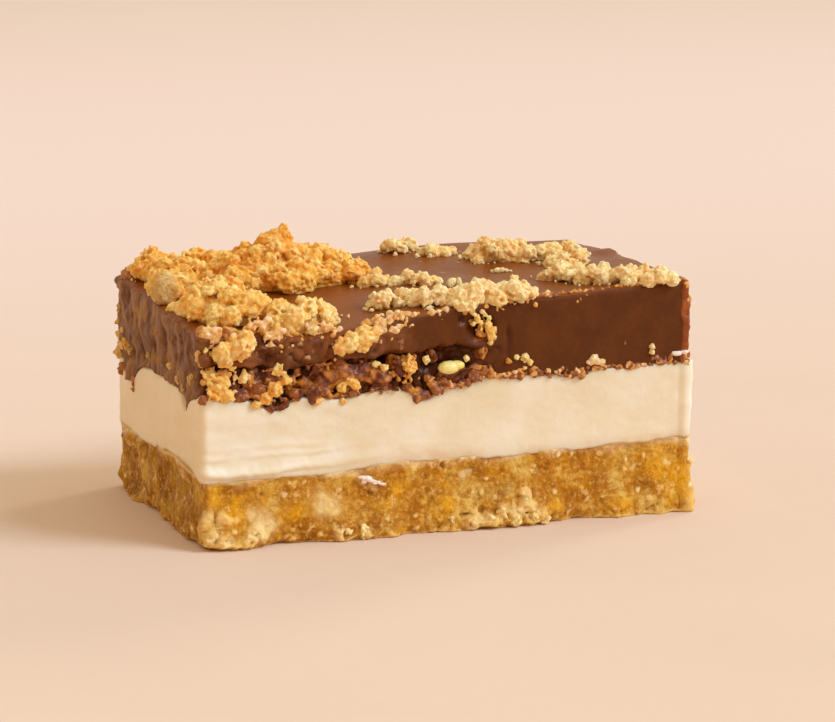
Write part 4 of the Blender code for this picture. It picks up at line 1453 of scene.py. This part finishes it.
# Crumbs along the seam of the front as x, height and radius in mm, with a tone for gold and toffee ones, and
# how many lumps and sticky crumbs are scattered in it
seam = {
    "gold": (
        (-37.6, 25.9, 1.7, 0.45), (-39.4, 27.0, 1.2, 0.7), (-36.4, 23.9, 1.3, 0.5),
        (-38.7, 24.3, 1.1, 0.3), (-28.9, 24.5, 1.5, 0.35), (-28.2, 27.3, 1.3, 0.8),
        (-30.4, 23.0, 1.2, 0.2), (-31.9, 22.2, 0.8, 0.75), (-27.2, 25.6, 0.9, 0.5),
        (-16.8, 25.3, 1.1, 0.4), (-15.9, 24.3, 1.0, 0.3), (-18.2, 24.0, 0.8, 0.6),
        (-22.0, 22.3, 0.8, 0.3), (-17.8, 21.8, 0.6, 0.2), (-7.1, 26.9, 1.6, 0.15),
        (-4.3, 27.6, 0.7, 0.85), (-26.4, 28.6, 0.5, 0.8), (-33.8, 26.4, 0.7, 0.85),
        (-12.6, 27.4, 0.6, 0.9), (-11.2, 26.8, 0.7, 0.85), (2.4, 27.4, 0.5, 0.85), (4.2, 33.6, 0.6, 0.7),
        (6.1, 32.6, 0.7, 0.6), (6.5, 31.6, 0.8, 0.35), (6.8, 30.6, 0.7, 0.3), (6.4, 29.8, 0.5, 0.2),
        (3.4, 32.8, 0.4, 0.8), (6.2, 33.6, 0.5, 0.85), (4.9, 32.9, 0.4, 0.6), (3.8, 34.3, 0.35, 0.7),
        (5.5, 34.2, 0.35, 0.8), (4.9, 31.9, 0.35, 0.3), (12.3, 27.0, 0.8, 0.92), (10.9, 27.1, 0.5, 0.8),
        (13.2, 26.2, 0.5, 0.85), (24.6, 25.7, 0.6, 0.85), (25.6, 25.6, 0.5, 0.75),
        (34.3, 26.6, 0.6, 0.9), (-35.6, 28.2, 0.6, 0.6), (-40.2, 29.6, 0.9, 0.4),
        (-40.0, 31.2, 0.8, 0.3), (-39.0, 30.4, 0.6, 0.7),
    ),
    "toffee": (
        (-40.4, 23.5, 0.85, 0.2), (-31.4, 24.6, 1.0, 0.1), (-25.8, 23.6, 0.9, 0.15),
        (-16.4, 23.0, 0.8, 0.1), (-2.6, 23.0, 1.1, 0.15), (-3.6, 24.2, 0.8, 0.4), (-1.4, 24.0, 0.8, 0.1),
        (3.9, 24.6, 1.1, 0.1), (5.4, 25.2, 0.8, 0.3), (22.1, 23.9, 0.9, 0.45), (9.6, 26.6, 0.6, 0.5),
        (37.6, 25.6, 0.6, 0.3),
    ),
    "nut": ((-0.4, 26.1, 1.3), (0.9, 26.4, 0.95)),
    "pale": (
        (38.8, 26.2, 0.7), (40.0, 26.3, 0.6), (-15.0, 9.7, 0.5), (-14.2, 9.4, 0.7), (-13.4, 9.0, 0.45),
        (-12.6, 8.7, 0.6), (-11.6, 8.4, 0.4), (-14.6, 8.8, 0.35),
    ),
    "lumpCount": 62,
    "lumpRadius": (0.9 * mm, 2.3 * mm),
    "smallRadius": (0.35, 0.85),
    "lumpReach": (-38 * mm, 7 * mm),
    "stripCount": 250,
    "stripRadius": (0.2 * mm, 0.75 * mm),
    "stripFrom": -3 * mm,
    "face": -24.6 * mm,
    "stand": 0.6 * mm,
    "crumbVoxel": 0.17 * mm,
    "lumpVoxel": 0.2 * mm,
    "stripVoxel": 0.15 * mm,
    "paleVoxel": 0.12 * mm,
}


def toffeeMaterial():
    # darker sticky crumbs, from red-brown to orange
    material, tree, shader = newMaterial("toffeeCrumb", 0.35)
    toned = colourScale(tree, attribute(tree, "tone"), (0.0, 120, 54, 16), (0.3, 160, 88, 30),
                        (0.5, 212, 146, 52), (0.7, 234, 176, 84), (0.85, 240, 190, 120),
                        (1.0, 252, 220, 170))
    fine = mottled(tree, 0.0012, 0.0005, 0.4)
    colour = tinted(tree, toned, product(tree, fine, 0.35), (206, 130, 62))
    # darker in crevices: painted shade
    colour = tinted(tree, colour, span(tree, attribute(tree, "crest"), -1.2, 0.0, 0.6, 0.0), (66, 26, 8))
    tree.links.new(colour, shader.inputs["Base Color"])
    softInside(shader, 0.3, (1.0, 0.35, 0.1), 0.7 * mm)
    grainBump(tree, shader, 0.0003, 0.0008, 0.4, 0.08 * mm)
    return material


def glossyLumpMaterial():
    material, tree, shader = newMaterial("brokenChocolate", 0.3)
    patches = mottled(tree, 0.0032, 0.0009, 0.3)
    colour = colourScale(tree, patches, (0.0, 92, 40, 14), (0.4, 126, 62, 24), (0.6, 160, 92, 40),
                         (0.8, 204, 132, 50), (1.0, 222, 152, 60))
    colour = tinted(tree, colour, product(tree, specked(tree, 0.0013, 0.3, 0.3), 0.7), (190, 122, 60))
    # darker in crevices: painted shade
    creviceShade = span(tree, attribute(tree, "crest"), -1.2, -0.1, 0.75, 0.0)
    colour = tinted(tree, colour, creviceShade, (44, 16, 6))
    tree.links.new(colour, shader.inputs["Base Color"])
    tree.links.new(span(tree, patches, 0.0, 1.0, 0.22, 0.45), shader.inputs["Roughness"])
    shader.inputs["Specular IOR Level"].default_value = 0.4
    addBump(tree, shader, placeGroup(tree, grains, Size=0.0007).outputs["Height"], 0.12 * mm)
    return material


def nutMaterial(name, light, dark):
    material, tree, shader = newMaterial(name, 0.4)
    patches = mottled(tree, 0.0022, 0.0006, 0.3)
    tree.links.new(mixColour(tree, patches, srgb(*light), srgb(*dark)), shader.inputs["Base Color"])
    softInside(shader, 0.3, (1.0, 0.8, 0.3), 0.8 * mm)
    grainBump(tree, shader, 0.0005, 0.002, 0.3, 0.05 * mm)
    return material


toffeeCrumb, brokenChocolate = toffeeMaterial(), glossyLumpMaterial()


def dressTrim(made, material):
    made.data.materials.clear()
    made.data.materials.append(material)
    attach(made, "root")
    print(made.name, "ready:", len(made.data.polygons), "faces")


def knobbedCrumbs(name, crumbs, normal, facing, voxel, seeds, paleness=0.0, rough=1.0):
    # crumbs as centres, radii and tones, all facing one way; the seeds are for shapes and for nubs
    centres, radii, tones = crumbs
    draw = np.random.default_rng(seeds[0])
    normals = np.tile(normal, (len(centres), 1))
    parts, knobs, owners = lumpsWithKnobs(centres, radii, normals, draw, facing)
    made = fusedObject(name, parts, voxel)
    finishCrumble(made, knobs, tones[owners], paleness, seeds[1], rough)
    return made


def seamCrumbs(name, spots, seed):
    # golden or toffee crumbs stuck to the front at given places
    x, z, radii, tones = np.array(spots).T
    x, z, radii = x * mm, z * mm, radii * mm
    centres = np.column_stack([x, seam["face"] + (0.45 * radii - seam["stand"]), z])
    crumbs = (centres, radii * 0.95, tones)
    return knobbedCrumbs(name, crumbs, [0.0, -1.0, 0.0], -0.6, seam["crumbVoxel"], (seed, seed), 0.2)


def alongFront(function, xs):
    # a height at each x of the cut front
    return np.array([function(x, frontFace) for x in xs])


def seamLumps():
    # broken chocolate under the lip, and smaller bits along the cream's edge
    draw = np.random.default_rng(307)
    first, last = seam["lumpReach"]
    count = seam["lumpCount"]
    along = first + (last - first) * (np.arange(count) + draw.random(count)) / count
    radii = radiiBetween(seam["lumpRadius"], draw, count, 1.7)
    floor, lips = alongFront(creamTop, along), alongFront(lipHeight, along)
    rise = floor + (lips - floor - 0.4 * mm) * draw.random(count)
    rise = np.maximum(rise, floor + 0.25 * radii)
    deep = frontFace + draw.uniform(-0.2, 1.0, count) * mm + 0.55 * radii
    parts = [brokenLumps(np.stack([along, deep, rise], axis=1), radii, 3, draw, 0.4, 0.4)]
    edge = draw.uniform(first, last, count // 2)
    small = draw.uniform(*seam["smallRadius"], len(edge)) * mm
    height = alongFront(creamTop, edge) + draw.uniform(-0.2, 0.7, len(edge)) * mm
    bits = np.stack([edge, frontFace + 0.3 * small, height], axis=1)
    parts.append(brokenLumps(bits, small, 2, draw, 0.4, 0.4))
    made = fusedObject("seamLumps", parts, seam["lumpVoxel"])
    addNubs(made, 1.3 * mm, 0.26 * mm, 311)
    addNubs(made, 0.7 * mm, 0.1 * mm, 313)
    addValue(made.data, "crest", crestOf(made.data, 6) / (0.25 * mm))
    return made


def seamStrip():
    # the thin line of sticky crumbs between cream and chocolate
    draw = np.random.default_rng(331)
    count = seam["stripCount"]
    along = draw.uniform(seam["stripFrom"], bar["length"] / 2, count)
    radii = radiiBetween(seam["stripRadius"], draw, count, 2)
    thick = 0.3 + 0.7 * (softNoise(np.stack([along, 0 * along, 0 * along], axis=1), 4 * mm, 5) > -0.2)
    height = alongFront(creamTop, along) + draw.uniform(-0.5, 1.1, count) * thick * mm
    spots = np.stack([along, frontFace + 0.25 * radii, height], axis=1)
    made = fusedObject("seamStrip", [brokenLumps(spots, radii, 2, draw, 0.4, 0.4)], seam["stripVoxel"])
    finishCrumble(made, spots, draw.random(count) ** 2.2, 0.0, 337, 0.6)
    return made


def paleBits(name, spots, stretch, keep, nub, material):
    # smooth pale lumps on the front, longer along x; keep says how little is broken off them
    draw = np.random.default_rng(351)
    spots = np.array(spots)
    radii = spots[:, 2] * mm
    face = seam["face"] + 0.35 * radii - seam["stand"]
    centres = np.stack([spots[:, 0] * mm, face, spots[:, 1] * mm], axis=1)
    verts, faces = brokenLumps(centres, radii, 3, draw, 0.1, keep)
    middles = np.repeat(centres, len(verts) // len(centres), axis=0)
    stretched = (verts - middles) * np.array(stretch) + middles
    made = fusedObject(name, [(stretched, faces)], seam["paleVoxel"])
    addNubs(made, 0.9 * mm, nub, 353)
    dressTrim(made, material)


# Loose bits: small grains round each heap and at spots of x, y and radius, and ragged crumbs on the top's
# edges, as first and last x, y, count, largest radius and tone
loose = {
    "perLobe": 10,
    "grainRadius": (0.16 * mm, 0.5 * mm),
    "spread": 0.5,
    "inside": (40.2 * mm, 24.3 * mm),
    "leftFace": -40.9,
    "leftmost": -41.2,
    "dropBefore": -24.5 * mm,
    "lowest": 0.05 * mm,
    "dustLeast": 0.2,
    "rimLeast": 0.18,
    "footVoxel": 0.17 * mm,
    "dustVoxel": 0.18 * mm,
    "stuckVoxel": 0.19 * mm,
    "rimVoxel": 0.2 * mm,
    "spots": (
        (15.9, -2.2, 0.45), (16.6, -2.4, 0.6), (17.4, -2.6, 0.55), (18.1, -2.9, 0.5), (18.7, -3.2, 0.35),
        (6.0, -9.4, 1.0), (7.0, -9.8, 0.9), (5.4, -10.2, 0.7), (6.4, -8.8, 0.6), (-9.2, -22.6, 0.8),
        (-8.0, -23.4, 0.6), (-10.6, -22.0, 0.5), (-12.0, -23.6, 0.6), (-6.6, -23.6, 0.5),
        (-28.0, -23.9, 0.5), (-20.4, -24.3, 0.45),
    ),
    "rims": (
        (11.6, 33.5, -24.5, 110, 0.5, 0.4), (-40.6, -36.0, -24.4, 30, 0.7, 0.5),
        (-14.5, -5.0, -24.6, 60, 0.6, 0.8), (-33.0, -18.0, -24.8, 44, 0.6, 0.75),
        (-4.0, 14.0, -25.0, 70, 0.55, 0.8), (34.0, 40.6, -24.4, 24, 0.5, 0.55),
        (-40.6, -17.5, -23.9, 48, 1.1, 0.55), (-40.0, -19.5, -22.7, 40, 1.1, 0.65),
        (-14.0, -6.0, -23.9, 36, 0.75, 0.75),
    ),
}
# Sticky crumbs on the left side: y, height, radius, tone
sideSpots = (
    (-13.3, 25.2, 0.9, 1.0), (-12.2, 24.6, 0.6, 0.96), (-14.6, 24.6, 0.6, 1.0), (-15.6, 24.0, 0.7, 1.0),
    (-19.4, 25.6, 0.7, 1.0), (-20.4, 26.4, 0.5, 0.98), (-7.4, 26.0, 0.6, 0.96), (5.0, 25.6, 0.6, 1.0),
    (20.4, 25.4, 0.9, 0.97), (22.6, 24.6, 1.0, 0.95), (24.2, 23.4, 1.2, 0.96), (24.6, 26.2, 0.9, 0.96),
    (24.4, 28.4, 0.9, 1.0), (24.2, 30.6, 0.7, 1.0), (17.4, 24.4, 0.6, 1.0), (22.0, 27.4, 0.7, 0.98),
)
# Sticky crumbs on the corners and in drips: x, y, height, radius, tone
cornerSpots = (
    (-39.5, 22.6, 36.0, 1.3, 0.1), (-39.2, 24.2, 36.4, 1.1, 0.15), (-40.3, 24.2, 34.6, 0.9, 0.0),
    (-40.9, 22.8, 20.4, 0.7, 0.0), (-40.9, 22.3, 21.4, 0.6, 0.1), (-40.9, 15.0, 20.4, 0.45, 0.1),
    (-40.9, 15.1, 19.4, 0.34, 0.0), (-40.9, 15.2, 18.4, 0.4, 0.0),
    (40.6, -24.4, 24.6, 0.8, 0.8), (40.9, -24.0, 26.2, 0.6, 0.6), (40.2, -24.8, 37.2, 0.6, 0.4),
    (40.8, -24.2, 34.8, 0.6, 0.5), (24.4, -25.0, 26.0, 0.9, 0.97), (23.4, -25.1, 25.6, 0.6, 0.95),
    (25.4, -25.1, 25.5, 0.5, 0.9), (34.3, -25.0, 27.4, 0.6, 0.9),
)
# Clusters of small crumbs on the front: x, height, half width, half height, count, largest radius, depth
# and tone
dustings = (
    (-40.2, 31.0, 0.9, 3.0, 60, 0.6, 0.3, 0.8), (-38.6, 33.4, 1.4, 1.4, 36, 0.6, 0.1, 0.85),
    (-28.8, 32.6, 2.6, 1.6, 40, 0.6, 0.0, 0.86), (-31.2, 34.6, 3.0, 0.9, 30, 0.6, 0.1, 0.8),
    (-10.8, 33.2, 3.2, 1.8, 90, 0.6, 0.1, 0.86), (-21.0, 33.8, 3.2, 0.8, 30, 0.5, 0.0, 0.85),
    (-38.4, 26.6, 2.4, 1.8, 44, 0.7, 0.2, 0.5), (-29.6, 24.4, 2.4, 1.8, 36, 0.6, 0.5, 0.3),
    (-33.4, 26.6, 1.6, 1.0, 24, 0.5, 0.6, 0.9), (-17.4, 24.4, 2.0, 1.8, 40, 0.5, 0.6, 0.4),
    (-24.0, 27.8, 7.0, 0.5, 40, 0.45, 0.3, 0.2), (-8.0, 25.4, 3.0, 1.4, 36, 0.5, 0.6, 0.5),
    (5.0, 32.0, 1.7, 1.6, 40, 0.45, 0.9, 0.5), (6.5, 31.0, 0.8, 2.0, 20, 0.55, 0.3, 0.35),
    (-24.0, 22.8, 12.0, 0.4, 44, 0.4, 0.3, 0.2), (-24.0, 30.6, 9.0, 1.6, 30, 0.4, 0.0, 0.7),
)


def looseGrains():
    # scattered round every lobe of crumble, and at given spots
    draw = np.random.default_rng(401)
    count = loose["perLobe"]
    spots, radii = [], []
    for _, _, lobes in crumblePieces.values():
        for x, y, halfLength, halfWidth, _, turn, _ in lobes:
            angle = draw.uniform(0, 2 * math.pi, count)
            reach = 1 + loose["spread"] * draw.random(count) ** 2
            turned = math.radians(turn)
            acrossX, acrossY = np.cos(angle) * halfLength * reach, np.sin(angle) * halfWidth * reach
            spots += list(zip(x + acrossX * math.cos(turned) - acrossY * math.sin(turned),
                              y + acrossX * math.sin(turned) + acrossY * math.cos(turned)))
            radii += list(radiiBetween(loose["grainRadius"], draw, count, 2))
    for x, y, radius in loose["spots"]:
        spots.append((x, y))
        radii.append(radius * mm)
    spots, radii = np.array(spots) * mm, np.array(radii)
    inside = (np.abs(spots) < loose["inside"]).all(axis=1)
    spots, radii = spots[inside], radii[inside]
    centres = np.column_stack([spots, tableOf(spots, chocolateTop) + 0.45 * radii])
    verts, faces = brokenLumps(centres, radii, 2, draw, 0.4, 0.4)
    made = meshObject("looseGrains", verts, faces.tolist())
    finishCrumble(made, centres, draw.random(len(centres)), 0.6, 403)
    return made


# Crumbs standing out of the base: x, height, radius, tone
footSpots = (
    (-15.0, 1.3, 1.0, 0.9), (-17.6, 1.6, 0.6, 0.8), (-0.2, 2.0, 0.6, 0.9), (3.4, 1.2, 0.9, 0.45),
    (6.1, 1.5, 0.9, 0.9), (8.3, 2.4, 1.0, 0.5), (10.4, 1.2, 1.0, 0.8), (12.4, 3.6, 1.1, 0.7),
    (13.8, 1.4, 1.0, 0.75), (15.6, 0.9, 0.8, 0.9), (41.2, 4.2, 0.7, 0.6), (41.4, 8.4, 0.6, 0.7),
    (40.8, 11.4, 0.6, 0.8),
)


def footCrumbs():
    x, z, radii, tones = np.array(footSpots).T
    x, z, radii = x * mm, z * mm, radii * mm
    face = frontFace - footReach(x, z) + 0.62 * radii
    centres = np.column_stack([x, face, np.maximum(z, 0.95 * radii)])
    crumbs = (centres, radii, 0.25 + 0.7 * tones)
    facing = ([0.0, -1.0, 0.0], -0.6)
    made = knobbedCrumbs("footCrumbs", crumbs, *facing, loose["footVoxel"], (421, 423), 0.4, 0.7)
    for vert in made.data.vertices:
        vert.co.z = max(vert.co.z, loose["lowest"])
    return made


def stuckCrumbs(name, spots, seed):
    # their knobs face the front left
    crumbs = (spots[:, :3] * mm, spots[:, 3] * mm, spots[:, 4])
    return knobbedCrumbs(name, crumbs, [-0.7, -0.7, 0.0], -0.8, loose["stuckVoxel"], (seed, seed))


def groundCrumbs(name, groups, draw, voxel, seed):
    # many small plain crumbs, from groups of centres, radii and tones
    spots, radii, tones = (np.concatenate(part) for part in zip(*groups))
    made = fusedObject(name, [brokenLumps(spots, radii, 2, draw, 0.35, 0.55)], voxel)
    finishCrumble(made, spots, tones, 0.0, seed, 0.4)
    return made


def dustCrumbs():
    draw = np.random.default_rng(441)
    groups = []
    for x, z, halfWidth, halfHeight, count, biggest, depth, tone in dustings:
        radius = radiiBetween((loose["dustLeast"], biggest), draw, count, 1.8)
        across, up = np.clip(draw.normal(0, 0.5, (2, count)), -1.3, 1.3)
        face = frontFace / mm - 0.25 + depth + 0.3 * radius
        along = np.maximum(x + halfWidth * across, loose["leftmost"])
        spots = np.column_stack([along, face, z + halfHeight * up])
        groups.append((spots * mm, radius * mm, np.clip(tone + draw.normal(0, 0.12, count), 0, 1)))
    return groundCrumbs("dustCrumbs", groups, draw, loose["dustVoxel"], 443)


def rimCrumbs():
    # along the top's edges, some of them sunk over the front
    draw = np.random.default_rng(409)
    groups = []
    for first, last, y, count, biggest, tone in loose["rims"]:
        along = draw.uniform(first, last, count) * mm
        radius = radiiBetween((loose["rimLeast"], biggest), draw, count, 1.6) * mm
        back = y * mm + draw.uniform(-0.35, 0.7, count) * mm
        tops = tableOf(np.column_stack([along, back]), chocolateTop)
        drop = np.where(back < loose["dropBefore"], draw.uniform(0.1, 1.6, count) * mm, 0)
        spots = np.column_stack([along, back, tops + 0.2 * radius - drop])
        groups.append((spots, radius, np.clip(tone + draw.normal(0, 0.18, count), 0, 1)))
    return groundCrumbs("rimCrumbs", groups, draw, loose["rimVoxel"], 411)


dressTrim(looseGrains(), goldenCrumble)
dressTrim(rimCrumbs(), toffeeCrumb)
corners, sides = np.array(cornerSpots), np.array(sideSpots)
corners[:, 4] = 0.7 * corners[:, 4] + 0.3  # paler than the dark toffee of the seam
dressTrim(stuckCrumbs("stuckCrumbs", corners, 431), toffeeCrumb)
# x comes from the left face and the radius
sides = np.column_stack([0.4 * sides[:, 2] + loose["leftFace"], sides])
dressTrim(stuckCrumbs("sideCrumbs", sides, 433), goldenCrumble)
dressTrim(dustCrumbs(), toffeeCrumb)
dressTrim(footCrumbs(), goldenCrumble)
dressTrim(seamLumps(), brokenChocolate)
dressTrim(seamCrumbs("seamGold", seam["gold"], 341), goldenCrumble)
dressTrim(seamCrumbs("seamToffee", seam["toffee"], 343), toffeeCrumb)
dressTrim(seamStrip(), toffeeCrumb)
paleBits("nutPiece", seam["nut"], (1.35, 0.9, 0.9), 1.04, 0.07 * mm,
         nutMaterial("nutFlesh", (252, 236, 160), (240, 214, 96)))
paleBits("paleBits", seam["pale"], (1.5, 0.8, 0.7), 0.6, 0.2 * mm,
         nutMaterial("paleCrumb", (254, 238, 222), (244, 212, 186)))

sizes = {"cad": cadBox, "visual": [list(corner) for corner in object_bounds()]}
